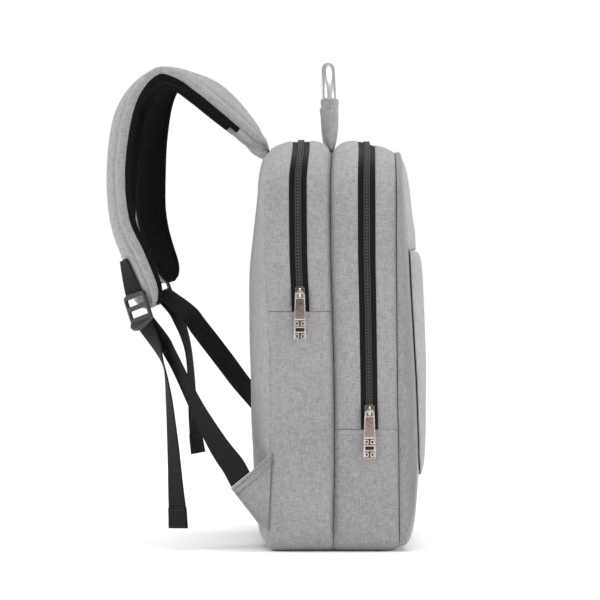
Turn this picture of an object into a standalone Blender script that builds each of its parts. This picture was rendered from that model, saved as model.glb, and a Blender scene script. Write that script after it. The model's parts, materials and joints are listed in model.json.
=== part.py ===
"""A laptop backpack with an aluminium arch handle, standing on its base.

Metres, with +Z up. The front, with the pocket, faces -Y. The back panel and the shoulder straps are at
+Y, and the wearer's left is -X. The origin is on the floor, near the middle of the base.
"""

import math
from collections import namedtuple

import bmesh
import bpy
from mathutils import Matrix, Vector

# Body
BAG_WIDTH = 0.300
BAG_HEIGHT = 0.433
BASE_DEPTH = 0.1387
TOP_RADIUS = 0.060
BASE_RADIUS = 0.022
SEAM_PINCH = 0.012
BACK_BULGE = 0.0228
FRONT_BULGE = 0.037
WALL = 0.0047
FRONT_WALL = 0.004
POCKET_WALL = 0.0035
BACK_PADDING = 0.005
SEAM_GAP = 0.0004

# Front face inside its border, and the pocket on it
FACE_WIDTH = 0.284
FACE_LOW = 0.079
FACE_DROP = 0.018
FACE_HIGH = BAG_HEIGHT - FACE_DROP
FACE_LOW_RADIUS = 0.030
FACE_HIGH_RADIUS = 0.046
BORDER_PUFF = 0.004
POCKET_MOUTH = 0.316

# Zips
REAR_ZIP_END = 0.251
FRONT_ZIP_END = 0.128
ZIP_TAPE_WIDTH = 0.018
ZIP_TAPE_DROP = 0.0008
ZIP_TAPE = 0.0012
COIL_WIDTH = 0.0065
COIL_HEIGHT = 0.0017
SLIDER_WIDTH = 0.0105
SLIDER_LENGTH = 0.0145
SLIDER_PLATE = 0.0020
SLIDER_ABOVE_END = 0.0195
BRIDGE_WIDTH = 0.0024
BRIDGE_WALL = 0.0012
BRIDGE_LENGTH = 0.0110
BRIDGE_ROOM = 0.0030
PULL_LENGTH = 0.0490
PULL_WIDTH = 0.0126
PULL_NECK = 0.0108
PULL_THICKNESS = 0.0016
PULL_WINDOW = 0.0070
PULL_BAR = 0.0018

# Handle
TUBE_RADIUS = 0.0069
TUBE_WALL = 0.0015
HANDLE_SPAN = 0.128
HANDLE_RISE = 0.0965
HANDLE_LEAN = 0.0030
SLEEVE_ABOVE = 0.045
SLEEVE_TOP = BAG_HEIGHT + SLEEVE_ABOVE
SLEEVE_RADIUS = 0.0092
TUBE_FIT = 0.0004

# Shoulder straps
STRAP_REACH = 0.150
STRAP_WIDTH = 0.062
STRAP_COVER = 0.008
STRAP_MESH = 0.007
STRAP_CURL = 0.0095
STRAP_PUFF = 0.006
STRAP_ROOT_LENGTH = 0.046
STRAP_END_RADIUS = 0.024
TAB_LENGTH = 0.056
TAB_FROM_END = 0.020
TAB_STEPS = 6
WEBBING_WIDTH = 0.025
WEBBING = 0.0018
HEM_LENGTH = 0.022
TAB_TWIST = 18
LIP_BEND = 50
TAIL_START = 0.0049
BUCKLE_WIDTH = 0.033
BUCKLE_LENGTH = 0.030
BUCKLE_LIP = 0.013
BUCKLE_THICKNESS = 0.004
BUCKLE_BAR = 0.005
WING_REACH = 0.0406
WING_CLOTH = 0.003
CLEAR = 0.0003

# Seams where the gusset meets the back and the front. up is a share of BAG_HEIGHT, back and front are
# shares of BASE_DEPTH.
SeamRow = namedtuple("SeamRow", "up back front")
SEAM_LINES = (
    SeamRow(0.00, 0.517, -0.483),
    SeamRow(0.06, 0.515, -0.476),
    SeamRow(0.23, 0.493, -0.472),
    SeamRow(0.37, 0.493, -0.463),
    SeamRow(0.59, 0.517, -0.457),
    SeamRow(0.73, 0.538, -0.4535),
    SeamRow(0.89, 0.543, -0.4535),
    SeamRow(0.98, 0.508, -0.4535),
)

# How far each line round the gusset is pinched in. across runs from the back seam to the front seam,
# and top, side and base are shares of SEAM_PINCH there.
PinchRow = namedtuple("PinchRow", "across top side base")
PINCH = (
    PinchRow(0.000, 0.95, 0.55, 0.33),
    PinchRow(0.040, 0.60, 0.28, 0.00),
    PinchRow(0.100, 0.30, 0.10, 0.00),
    PinchRow(0.189, 0.05, 0.00, 0.00),
    PinchRow(0.320, 0.02, 0.00, 0.00),
    PinchRow(0.400, 0.14, 0.06, 0.00),
    PinchRow(0.455, 0.48, 0.24, 0.00),
    PinchRow(0.500, 1.05, 0.75, 0.00),
    PinchRow(0.545, 0.48, 0.24, 0.00),
    PinchRow(0.620, 0.08, 0.03, 0.00),
    PinchRow(0.709, 0.02, 0.00, 0.00),
    PinchRow(0.840, 0.40, 0.10, 0.00),
    PinchRow(0.915, 0.60, 0.25, 0.02),
    PinchRow(1.000, 1.10, 0.60, 0.35),
)
REAR_ZIP_BACK = 3
REAR_ZIP_FRONT = 4
CENTRE_SEAM = 7
FRONT_ZIP_BACK = 10
FRONT_ZIP_FRONT = 11

# Lines between the front seam and the face. forward and inward are shares of the way, puff and crown are
# shares of BORDER_PUFF at the sides and on top.
BorderRow = namedtuple("BorderRow", "forward inward puff crown")
BORDER = (
    BorderRow(0.45, 0.07, 1.0, 0.20),
    BorderRow(0.80, 0.38, 0.8, 0.25),
)

# The front by height. up is a share of BAG_HEIGHT, and edge, panel and pocket are shares of
# FRONT_BULGE in front of the front seam: at the face's edge, and at its middle.
FaceRow = namedtuple("FaceRow", "up edge panel pocket")
FACE = (
    FaceRow(0.182, 0.590, 0.590, 0.600),
    FaceRow(0.200, 0.570, 0.600, 0.690),
    FaceRow(0.240, 0.550, 0.610, 0.750),
    FaceRow(0.363, 0.535, 0.570, 0.800),
    FaceRow(0.530, 0.450, 0.500, 0.810),
    FaceRow(0.650, 0.380, 0.460, 0.775),
    FaceRow(0.700, 0.360, 0.450, 0.730),
    FaceRow(0.730, 0.335, 0.480, 0.670),
    FaceRow(0.750, 0.315, 0.690, 0.620),
    FaceRow(0.825, 0.260, 0.570, 0.590),
    FaceRow(0.917, 0.200, 0.420, 0.590),
    FaceRow(0.945, 0.195, 0.330, 0.590),
    FaceRow(0.9585, 0.190, 0.190, 0.590),
)

# The back panel by height. up is a share of BAG_HEIGHT, middle a share of BACK_BULGE.
BackRow = namedtuple("BackRow", "up middle")
BACK = (
    BackRow(0.009, 0.00),
    BackRow(0.031, 0.40),
    BackRow(0.110, 0.68),
    BackRow(0.220, 0.88),
    BackRow(0.360, 1.00),
    BackRow(0.490, 0.985),
    BackRow(0.590, 0.92),
    BackRow(0.684, 0.80),
    BackRow(0.733, 0.68),
    BackRow(0.800, 0.51),
    BackRow(0.865, 0.37),
    BackRow(0.950, 0.26),
    BackRow(0.9737, 0.00),
)

# Half of the handle's centre line. across is a share of half HANDLE_SPAN, up a share of HANDLE_RISE
# above the centre seam.
ArchRow = namedtuple("ArchRow", "across up")
ARCH = (
    ArchRow(1.00, 0.00),
    ArchRow(0.99, 0.16),
    ArchRow(0.96, 0.34),
    ArchRow(0.90, 0.54),
    ArchRow(0.80, 0.72),
    ArchRow(0.62, 0.88),
    ArchRow(0.34, 0.975),
    ArchRow(0.00, 1.00),
)

# Handle sleeve, from the seam up. up is a share of its height, wide and deep are shares of
# SLEEVE_RADIUS along X and Y.
SleeveRow = namedtuple("SleeveRow", "up wide deep")
SLEEVE = (
    SleeveRow(0.03, 1.62, 0.13),
    SleeveRow(0.08, 1.58, 0.32),
    SleeveRow(0.16, 1.45, 0.52),
    SleeveRow(0.28, 1.24, 0.70),
    SleeveRow(0.40, 1.10, 0.82),
    SleeveRow(0.56, 1.01, 0.93),
    SleeveRow(0.78, 1.00, 0.98),
    SleeveRow(1.00, 1.00, 1.00),
)
SLEEVE_BORE = 5

# Strap pads from the root down. out is a share of STRAP_REACH behind the top of the back seam, up a
# share of BAG_HEIGHT above it and side a share of half BAG_WIDTH. roll turns the inner face to -X, in
# degrees. wide, arch and thick are shares of STRAP_WIDTH, of STRAP_CURL and STRAP_PUFF, and of the
# padding.
PadRow = namedtuple("PadRow", "out up side roll wide arch thick")
LEFT_PAD = (
    PadRow(0.007, 0.003, 0.413, 0, 0.80, 0.00, 0.20),
    PadRow(0.052, 0.014, 0.413, 0, 0.82, 0.25, 0.62),
    PadRow(0.130, 0.029, 0.440, 3, 0.88, 0.55, 0.80),
    PadRow(0.217, 0.054, 0.480, 3, 0.95, 0.80, 0.95),
    PadRow(0.389, 0.102, 0.533, 4, 1.00, 1.00, 1.00),
    PadRow(0.519, 0.138, 0.573, 4, 1.00, 0.90, 1.00),
    PadRow(0.666, 0.173, 0.613, 3, 1.00, 0.45, 1.00),
    PadRow(0.779, 0.181, 0.627, 0, 1.00, 0.12, 1.00),
    PadRow(0.888, 0.137, 0.640, 2, 1.00, 0.60, 1.00),
    PadRow(0.955, 0.066, 0.653, 3, 1.00, 1.00, 1.00),
    PadRow(0.996, -0.057, 0.667, 3, 1.00, 1.00, 1.00),
    PadRow(0.988, -0.175, 0.680, -4, 1.00, 0.80, 1.00),
    PadRow(0.928, -0.263, 0.693, -20, 0.92, 0.45, 1.00),
    PadRow(0.853, -0.349, 0.707, -30, 0.84, 0.28, 0.85),
    PadRow(0.817, -0.384, 0.710, -30, 0.80, 0.20, 0.75),
)
RIGHT_PAD = (
    PadRow(0.007, 0.003, 0.413, 0, 0.80, 0.00, 0.20),
    PadRow(0.052, 0.014, 0.413, 0, 0.82, 0.25, 0.62),
    PadRow(0.126, 0.034, 0.440, 0, 0.88, 0.55, 0.80),
    PadRow(0.210, 0.068, 0.480, 0, 0.95, 0.80, 0.95),
    PadRow(0.375, 0.126, 0.533, 0, 1.00, 1.00, 1.00),
    PadRow(0.510, 0.169, 0.573, 0, 1.00, 0.90, 1.00),
    PadRow(0.660, 0.203, 0.613, 3, 1.00, 0.45, 1.00),
    PadRow(0.776, 0.206, 0.640, 10, 1.00, 0.20, 1.00),
    PadRow(0.864, 0.154, 0.660, 18, 1.00, 0.50, 1.00),
    PadRow(0.918, 0.061, 0.680, 23, 1.00, 0.70, 1.00),
    PadRow(0.937, -0.039, 0.700, 25, 1.00, 0.70, 1.00),
    PadRow(0.937, -0.120, 0.710, 25, 1.00, 0.70, 1.00),
    PadRow(0.908, -0.181, 0.720, 25, 0.95, 0.60, 1.00),
    PadRow(0.865, -0.228, 0.725, 24, 0.90, 0.45, 1.00),
    PadRow(0.805, -0.281, 0.730, 24, 0.84, 0.30, 0.85),
    PadRow(0.770, -0.319, 0.730, 24, 0.80, 0.20, 0.75),
)

# Webbing routes, with the same shares. roll turns the webbing as it turns a pad.
WebRow = namedtuple("WebRow", "out up side roll")
LEFT_LOWER = (
    WebRow(0.738, -0.471, 0.720, -37),
    WebRow(0.662, -0.517, 0.760, -32),
    WebRow(0.579, -0.575, 0.807, -33),
    WebRow(0.479, -0.642, 0.867, -42),
    WebRow(0.347, -0.718, 0.933, -62),
    WebRow(0.245, -0.766, 0.967, -80),
)
LEFT_TAIL = (
    WebRow(0.793, -0.477, 0.722, -26),
    WebRow(0.750, -0.517, 0.720, -6),
    WebRow(0.727, -0.547, 0.720, -6),
    WebRow(0.705, -0.604, 0.724, -16),
    WebRow(0.689, -0.663, 0.728, -23),
    WebRow(0.675, -0.722, 0.733, -30),
    WebRow(0.663, -0.780, 0.740, -36),
    WebRow(0.652, -0.839, 0.746, -44),
    WebRow(0.643, -0.878, 0.750, -50),
    WebRow(0.637, -0.923, 0.753, -53),
)
RIGHT_LOWER = (
    WebRow(0.632, -0.402, 0.740, 54),
    WebRow(0.492, -0.466, 0.800, 60),
    WebRow(0.353, -0.531, 0.900, 60),
    WebRow(0.253, -0.579, 0.973, 58),
    WebRow(0.160, -0.621, 1.047, 50),
    WebRow(0.080, -0.662, 1.130, 38),
    WebRow(0.030, -0.704, 1.205, 18),
    WebRow(0.018, -0.745, 1.240, 4),
)
RIGHT_TAIL = (
    WebRow(0.738, -0.392, 0.765, 34),
    WebRow(0.680, -0.443, 0.790, 22),
    WebRow(0.636, -0.498, 0.785, 14),
    WebRow(0.615, -0.558, 0.770, 14),
    WebRow(0.603, -0.628, 0.755, 18),
    WebRow(0.589, -0.685, 0.745, 24),
    WebRow(0.573, -0.732, 0.738, 30),
    WebRow(0.557, -0.771, 0.735, 34),
)

# Wing outline from the top of the seam. reach is a share of WING_REACH, up a share of BAG_HEIGHT.
WingRow = namedtuple("WingRow", "reach up")
WING = (
    WingRow(0.00, 0.238),
    WingRow(0.49, 0.195),
    WingRow(1.00, 0.155),
    WingRow(0.25, 0.070),
    WingRow(0.00, 0.053),
)
HEM_TOP = 1
HEM_TIP = 2
LEFT_WING_SWING = 7
RIGHT_WING_SWING = 85

# Sampling of the body's outlines
COLUMNS = (-1, -0.95, -0.83, -0.58, -0.29, 0, 0.29, 0.58, 0.83, 0.95, 1)
LOW_STEPS = 4
HIGH_STEPS = 5
LEVEL_STEPS = (3, 3, 3)
# Points across a pad, as shares of its half width, and its sections below the root, as shares of the
# way to its end
JOINT_PLACES = (-1, -0.5, 0, 0.5, 1)
COVER_PLACES = (1, 0.8, 0.72, 0.38, 0, -0.38, -0.72, -0.8, -1)
PAD_STATIONS = (0.06, 0.13, 0.20, 0.27, 0.34, 0.42, 0.51, 0.60, 0.69, 0.78, 0.86, 0.93, 0.98, 1.00)
LAST_COLUMN = len(COLUMNS) - 1
LAST_ROW = LOW_STEPS + sum(LEVEL_STEPS) + HIGH_STEPS
OUTLINE_POINTS = 2 * (LAST_COLUMN + LAST_ROW)

X = Vector((1, 0, 0))
Y = Vector((0, 1, 0))
Z = Vector((0, 0, 1))

Sample = namedtuple("Sample", "x z out_x out_z")
Frame = namedtuple("Frame", "centre side out row")


def clear_scene():
    for obj in list(bpy.data.objects):
        bpy.data.objects.remove(obj, do_unlink=True)


def make_material(name, colour, roughness, metallic=0.0):
    material = bpy.data.materials.new(name)
    material.use_nodes = True
    shader = material.node_tree.nodes["Principled BSDF"]
    shader.inputs["Base Color"].default_value = (*colour, 1)
    shader.inputs["Roughness"].default_value = roughness
    shader.inputs["Metallic"].default_value = metallic
    return material


def make_object(name, points, faces, material):
    """A closed mesh with its faces turned outwards."""
    mesh = bpy.data.meshes.new(name)
    mesh.from_pydata(points, [], faces)
    body = bmesh.new()
    body.from_mesh(mesh)
    bmesh.ops.recalc_face_normals(body, faces=body.faces)
    body.to_mesh(mesh)
    body.free()
    mesh.materials.append(material)
    obj = bpy.data.objects.new(name, mesh)
    bpy.context.scene.collection.objects.link(obj)
    return obj


def value_at(table, column, at):
    """One column of a table at a place between its rows, on a smooth curve that never overshoots."""
    keys = [row[0] for row in table]
    values = [getattr(row, column) for row in table]
    at = min(max(at, keys[0]), keys[-1])
    slopes = [(values[i + 1] - values[i]) / (keys[i + 1] - keys[i]) for i in range(len(keys) - 1)]
    tangents = [slopes[0]]
    for before, after in zip(slopes, slopes[1:]):
        same_way = before * after > 0
        tangents.append(2 * before * after / (before + after) if same_way else 0.0)
    tangents.append(slopes[-1])
    i = max(k for k in range(len(keys) - 1) if keys[k] <= at)
    span = keys[i + 1] - keys[i]
    t = (at - keys[i]) / span
    near = (2 * t**3 - 3 * t**2 + 1) * values[i] + (t**3 - 2 * t**2 + t) * span * tangents[i]
    far = (3 * t**2 - 2 * t**3) * values[i + 1] + (t**3 - t**2) * span * tangents[i + 1]
    return near + far


def seam_y(z, column):
    return BASE_DEPTH * value_at(SEAM_LINES, column, z / BAG_HEIGHT)


def outline(half_width, low, high, low_radius, high_radius, marks):
    """Samples round a rounded rectangle, from its lower left, along the base, up +X and back down."""
    right = []
    flat_low = half_width - low_radius
    flat_high = half_width - high_radius
    for step in range(LOW_STEPS):
        angle = math.radians(-90 + 90 * step / LOW_STEPS)
        out = (math.cos(angle), math.sin(angle))
        right.append(Sample(flat_low + low_radius * out[0], low + low_radius * (1 + out[1]), *out))
    stops = [low + low_radius, *marks, high - high_radius]
    for start, end, steps in zip(stops, stops[1:], LEVEL_STEPS):
        right += [Sample(half_width, start + (end - start) * k / steps, 1, 0) for k in range(steps)]
    for step in range(HIGH_STEPS + 1):
        angle = math.radians(90 * step / HIGH_STEPS)
        out = (math.cos(angle), math.sin(angle))
        right.append(
            Sample(flat_high + high_radius * out[0], high - high_radius * (1 - out[1]), *out)
        )
    left = [Sample(-s.x, s.z, -s.out_x, s.out_z) for s in right]
    base = [Sample(share * flat_low, low, 0, -1) for share in COLUMNS[1:-1]]
    top = [Sample(share * flat_high, high, 0, 1) for share in COLUMNS[-2:0:-1]]
    return [left[0], *base, *right, *top, *left[:0:-1]]


def outline_index(row, column):
    """The outline sample at a row and column of the panel inside it, or None in the panel's field."""
    if row == 0:
        return column
    if row == LAST_ROW:
        return OUTLINE_POINTS - LAST_ROW - column
    if column == 0:
        return OUTLINE_POINTS - row
    if column == LAST_COLUMN:
        return LAST_COLUMN + row
    return None


def body_outline():
    return outline(
        BAG_WIDTH / 2, 0.0, BAG_HEIGHT, BASE_RADIUS, TOP_RADIUS, (FRONT_ZIP_END, REAR_ZIP_END)
    )


def face_outline():
    middle = (FACE_LOW + FACE_LOW_RADIUS + POCKET_MOUTH) / 2
    return outline(
        FACE_WIDTH / 2, FACE_LOW, FACE_HIGH, FACE_LOW_RADIUS, FACE_HIGH_RADIUS, (middle, POCKET_MOUTH)
    )


def gusset_point(sample, across):
    """A point of the gusset's outer surface."""
    side = value_at(PINCH, "side", across)
    far = value_at(PINCH, "top" if sample.out_z > 0 else "base", across)
    inset = SEAM_PINCH * (side + (far - side) * abs(sample.out_z))
    z = sample.z - inset * sample.out_z
    back = seam_y(z, "back")
    front = seam_y(z, "front")
    return Vector((sample.x - inset * sample.out_x, back + (front - back) * across, z))


def face_y(z, column):
    return seam_y(z, "front") - FRONT_BULGE * value_at(FACE, column, z / BAG_HEIGHT)


def gusset_rings():
    return [[gusset_point(s, row.across) for s in body_outline()] for row in PINCH]


def face_ring():
    return [Vector((s.x, face_y(s.z, "edge"), s.z)) for s in face_outline()]


def border_rings(seam, face):
    rings = []
    for row in BORDER:
        ring = []
        for sample, near, far in zip(body_outline(), seam, face):
            point = near.lerp(far, row.inward)
            point.y = near.y + (far.y - near.y) * row.forward
            point.x += BORDER_PUFF * row.puff * sample.out_x
            point.z += BORDER_PUFF * row.crown * max(sample.out_z, 0.0)
            ring.append(point)
        rings.append(ring)
    return rings


def fill_panel(ring, bulge_at):
    """Rows of points across a ring, from its base up. bulge_at(across, z) is how far a point stands out."""
    rows = []
    for row in range(LAST_ROW + 1):
        left = ring[outline_index(row, 0)]
        right = ring[outline_index(row, LAST_COLUMN)]
        points = []
        for column, share in enumerate(COLUMNS):
            index = outline_index(row, column)
            if index is not None:
                points.append(ring[index])
                continue
            point = left.lerp(right, (share + 1) / 2)
            point.y += bulge_at(share, point.z)
            points.append(point)
        rows.append(points)
    return rows


class Skin:
    """The body's outer surface as labelled faces on shared points, from which its panels are cut."""

    def __init__(self):
        self.points = []
        self.index = {}
        self.faces = []

    def add(self, label, corners):
        loop = []
        for corner in corners:
            key = tuple(round(c, 7) for c in corner)
            if key not in self.index:
                self.index[key] = len(self.points)
                self.points.append(Vector(corner))
            if self.index[key] not in loop:
                loop.append(self.index[key])
        if len(loop) > 2:
            self.faces.append((label, loop))

    def normal_of(self, loop):
        """Twice the area of a face, along its normal."""
        points = [self.points[i] for i in loop]
        total = Vector()
        for a, b in zip(points[1:], points[2:]):
            total += (a - points[0]).cross(b - points[0])
        return total

    def normals(self):
        total = [Vector() for _ in self.points]
        for _, loop in self.faces:
            normal = self.normal_of(loop)
            for i in loop:
                total[i] += normal
        return [n.normalized() for n in total]


def build_skin():
    skin = Skin()
    rings = gusset_rings()
    outline_z = [s.z for s in body_outline()]
    count = OUTLINE_POINTS
    labels = (
        (REAR_ZIP_BACK, "rear_back_strip"),
        (REAR_ZIP_FRONT, "rear_zipper_tape"),
        (CENTRE_SEAM, "rear_middle_strip"),
        (FRONT_ZIP_BACK, "front_middle_strip"),
        (FRONT_ZIP_FRONT, "front_zipper_tape"),
        (len(PINCH), "front_edge_strip"),
    )
    for k, (ring, after) in enumerate(zip(rings, rings[1:])):
        upper = next(label for last, label in labels if k < last)
        rear = k < CENTRE_SEAM
        lower = "rear_lower_gusset" if rear else "front_lower_gusset"
        split = (REAR_ZIP_END if rear else FRONT_ZIP_END) - SEAM_GAP
        for i in range(count):
            j = (i + 1) % count
            label = upper if min(outline_z[i], outline_z[j]) > split else lower
            skin.add(label, (ring[i], ring[j], after[j], after[i]))
    face = face_ring()
    borders = [rings[-1], *border_rings(rings[-1], face), face]
    for ring, after in zip(borders, borders[1:]):
        for i in range(count):
            j = (i + 1) % count
            skin.add("front_border", (ring[i], ring[j], after[j], after[i]))

    def back_bulge(share, z):
        return BACK_BULGE * value_at(BACK, "middle", z / BAG_HEIGHT) * (1 - abs(share) ** 5)

    def panel_bulge(share, z):
        return (face_y(z, "panel") - face_y(z, "edge")) * (1 - abs(share) ** 3)

    back = fill_panel(rings[0], back_bulge)
    front = fill_panel(face, panel_bulge)
    for label, rows, order in (("back_panel", back, 1), ("front_panel", front, -1)):
        for low, high in zip(rows, rows[1:]):
            for c in range(LAST_COLUMN):
                skin.add(label, (low[c], high[c], high[c + 1], low[c + 1])[::order])
    return skin


def boundary_pulls(skin, faces):
    """For each point on the edge of some faces, the way into them that moves both edges by one unit."""
    uses = {}
    for loop in faces:
        for a, b in zip(loop, loop[1:] + loop[:1]):
            uses[frozenset((a, b))] = uses.get(frozenset((a, b)), 0) + 1
    edges = []
    pulls = {}
    for loop in faces:
        normal = skin.normal_of(loop).normalized()
        for a, b in zip(loop, loop[1:] + loop[:1]):
            if uses[frozenset((a, b))] > 1:
                continue
            edges.append((a, b))
            inwards = normal.cross(skin.points[b] - skin.points[a]).normalized()
            for i in (a, b):
                pulls.setdefault(i, []).append(inwards)
    return edges, {i: sum(ways, Vector()) / (1 + ways[0].dot(ways[-1])) for i, ways in pulls.items()}


def cut_panel(skin, name, wall, material, drop=0.0):
    """One panel of the skin as a closed wall, drawn back from its seams by half the gap."""
    faces = [loop for label, loop in skin.faces if label == name]
    edges, pulls = boundary_pulls(skin, faces)
    normals = skin.normals()
    used = sorted({i for loop in faces for i in loop})
    place = {old: new for new, old in enumerate(used)}
    outer = [
        skin.points[i] + pulls.get(i, Vector()) * SEAM_GAP / 2 - normals[i] * drop for i in used
    ]
    inner = [point - normals[i] * wall for point, i in zip(outer, used)]
    count = len(used)
    solid = [[place[i] for i in loop] for loop in faces]
    solid += [[place[i] + count for i in reversed(loop)] for loop in faces]
    solid += [[place[b], place[a], place[a] + count, place[b] + count] for a, b in edges]
    return make_object(name, outer + inner, solid, material)


def make_pocket(material):
    """The pocket is a domed wall on the front panel, closed at its sides and base and open at its mouth."""
    lift = POCKET_WALL + CLEAR

    def pocket_bulge(share, z):
        return (face_y(z, "pocket") - face_y(z, "edge")) * (1 - share**4)

    rows = fill_panel([point - Y * lift for point in face_ring()], pocket_bulge)
    skin = Skin()
    for low, high in zip(rows, rows[1:]):
        if high[0].z > POCKET_MOUTH + SEAM_GAP:
            break
        for c in range(LAST_COLUMN):
            skin.add("front_pocket", (low[c + 1], high[c + 1], high[c], low[c]))
    faces = [loop for _, loop in skin.faces]
    edges, _ = boundary_pulls(skin, faces)
    count = len(skin.points)
    inner = [point + Y * POCKET_WALL for point in skin.points]
    solid = faces + [[i + count for i in reversed(loop)] for loop in faces]
    solid += [[b, a, a + count, b + count] for a, b in edges]
    make_object("front_pocket", skin.points + inner, solid, material)


def smooth_path(points, steps):
    """Places on a Catmull-Rom curve through points, with steps spans from each to the next."""
    ends = [2 * points[0] - points[1], *points, 2 * points[-1] - points[-2]]
    path = []
    for a, b, c, d in zip(ends, ends[1:], ends[2:], ends[3:]):
        for k in range(steps):
            t = k / steps
            path.append(
                0.5 * (2 * b + (c - a) * t + (2 * a - 5 * b + 4 * c - d) * t**2
                       + (3 * b - a - 3 * c + d) * t**3)
            )
    path.append(points[-1])
    return path


def smooth_rows(rows, steps):
    """The same curve through the columns of a table."""
    columns = [smooth_path(column, steps) for column in zip(*rows)]
    kind = type(rows[0])
    return [kind(*values) for values in zip(*columns)]


def route_frames(rows, hand, steps):
    """Frames along a strap: hand is -1 for the left one and 1 for the right."""
    rows = smooth_rows(rows, steps)
    root = gusset_point(Sample(0, BAG_HEIGHT, 0, 1), 0)
    points = [
        root + Vector((hand * row.side * BAG_WIDTH / 2, row.out * STRAP_REACH, row.up * BAG_HEIGHT))
        for row in rows
    ]
    frames = []
    for i, (point, row) in enumerate(zip(points, rows)):
        along = (points[min(i + 1, len(points) - 1)] - points[max(i - 1, 0)]).normalized()
        side = (X - along * along.x).normalized()
        out = side.cross(along)
        roll = math.radians(row.roll)
        frames.append(
            Frame(
                point,
                side * math.cos(roll) - out * math.sin(roll),
                out * math.cos(roll) + side * math.sin(roll),
                row,
            )
        )
    return frames


def lengths_along(frames):
    total = [0.0]
    for a, b in zip(frames, frames[1:]):
        total.append(total[-1] + (b.centre - a.centre).length)
    return total


def frame_at(frames, length):
    """The frame that lies a length along a route."""
    total = lengths_along(frames)
    i = max(k for k in range(len(frames) - 1) if total[k] <= max(length, 0.0))
    t = min((length - total[i]) / (total[i + 1] - total[i]), 1.0)
    a, b = frames[i], frames[i + 1]
    row = type(a.row)(*(p + (q - p) * t for p, q in zip(a.row, b.row)))
    side = a.side.lerp(b.side, t).normalized()
    out = a.out.lerp(b.out, t).normalized()
    return Frame(a.centre.lerp(b.centre, t), side, out, row)


def loft(name, sections, material):
    """A closed solid through equal loops of points, with flat ends."""
    count = len(sections[0])
    points = [point for section in sections for point in section]
    faces = [list(range(count))[::-1], [len(points) - count + i for i in range(count)]]
    for k in range(len(sections) - 1):
        start = k * count
        for i in range(count):
            j = (i + 1) % count
            faces.append([start + i, start + j, start + count + j])
            faces.append([start + i, start + count + j, start + count + i])
    return make_object(name, points, faces, material)


def pad_height(row, across):
    """How far the pad's middle layer is bowed out at a place across it, and how far its face puffs."""
    curl = STRAP_CURL * row.arch * (1 - across**2)
    puff = STRAP_PUFF * row.arch * max(0.0, 1 - (across / 0.72) ** 2)
    return curl, puff


def pad_section(frame, half_width, joint, free, puffed, places):
    """A loop round a layer of the pad: its joint with the other layer, then its free face."""
    loop = []
    for level, across_places in ((joint, JOINT_PLACES), (free, places)):
        for across in across_places:
            curl, puff = pad_height(frame.row, across)
            height = level + curl + (puff if puffed and level == free else 0.0)
            loop.append(frame.centre + frame.side * half_width * across + frame.out * height)
    return loop


def pad_half_width(frame, left_over):
    """Half the pad's width, rounded off towards its end."""
    half = STRAP_WIDTH * frame.row.wide / 2
    past = 1 - min(left_over / STRAP_END_RADIUS, 1.0)
    return half * max(math.sqrt(1 - past**2), 0.42)


def pad_layer(name, frames, lengths, layer, material):
    """A layer of a strap pad through sections at some lengths along it."""
    whole = lengths_along(frames)[-1]
    sections = []
    for length in lengths:
        frame = frame_at(frames, length)
        thick = frame.row.thick
        middle = (STRAP_MESH - STRAP_COVER) / 2 * thick
        half = pad_half_width(frame, whole - length)
        free = (STRAP_MESH + STRAP_COVER) / 2 * thick
        if layer == "cover":
            sections.append(pad_section(frame, half, middle + CLEAR / 2, free, True, COVER_PLACES))
        else:
            sections.append(pad_section(frame, half, middle - CLEAR / 2, -free, False, JOINT_PLACES[::-1]))
    return loft(name, sections, material)


def ribbon(name, frames, width, thickness, material, hem=0.0):
    """Webbing along a route, doubled over its last stretch where it has a hem."""
    total = lengths_along(frames)
    sections = []
    for frame, length in zip(frames, total):
        half = frame.side * width / 2
        doubled = hem > 0 and length > total[-1] - hem
        depth = frame.out * thickness * (1.0 if doubled else 0.5)
        c = frame.centre
        sections.append([c - half - depth, c + half - depth, c + half + depth, c - half + depth])
    return loft(name, sections, material)


def plate_with_holes(name, outer, holes, place, thickness, material):
    """A flat plate from an outline and rectangular holes. place turns plate coordinates into the bag's."""
    body = bmesh.new()
    loops = []
    for loop in (outer, *holes):
        points = [body.verts.new((u, v, 0)) for u, v in loop]
        loops += [body.edges.new((a, b)) for a, b in zip(points, points[1:] + points[:1])]
    bmesh.ops.triangle_fill(body, use_beauty=True, edges=loops, normal=(0, 0, 1))
    made = bmesh.ops.extrude_face_region(body, geom=list(body.faces))
    lifted = [v for v in made["geom"] if isinstance(v, bmesh.types.BMVert)]
    bmesh.ops.translate(body, verts=lifted, vec=(0, 0, thickness))
    bmesh.ops.translate(body, verts=body.verts, vec=(0, 0, -thickness / 2))
    body.transform(place)
    bmesh.ops.recalc_face_normals(body, faces=body.faces)
    mesh = bpy.data.meshes.new(name)
    body.to_mesh(mesh)
    body.free()
    mesh.materials.append(material)
    obj = bpy.data.objects.new(name, mesh)
    bpy.context.scene.collection.objects.link(obj)
    return obj


def rectangle(half_u, low, high):
    return [(-half_u, low), (half_u, low), (half_u, high), (-half_u, high)]


def make_body(materials):
    skin = build_skin()
    cloth = materials["grey_fabric"]
    cut_panel(skin, "back_panel", BACK_PADDING, cloth)
    names = [
        "rear_back_strip",
        "rear_middle_strip",
        "rear_lower_gusset",
        "front_middle_strip",
        "front_edge_strip",
        "front_lower_gusset",
    ]
    for name in names:
        cut_panel(skin, name, WALL, cloth)
    for name in ("front_border", "front_panel"):
        cut_panel(skin, name, FRONT_WALL, cloth)
    for name in ("rear_zipper_tape", "front_zipper_tape"):
        cut_panel(skin, name, ZIP_TAPE, materials["zipper_tape"], ZIP_TAPE_DROP)
    make_pocket(cloth)


def zip_middle(end):
    """The share across the gusset of a zip's middle line."""
    back, front = (
        (REAR_ZIP_BACK, REAR_ZIP_FRONT) if end == REAR_ZIP_END else (FRONT_ZIP_BACK, FRONT_ZIP_FRONT)
    )
    return (PINCH[back].across + PINCH[front].across) / 2


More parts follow.
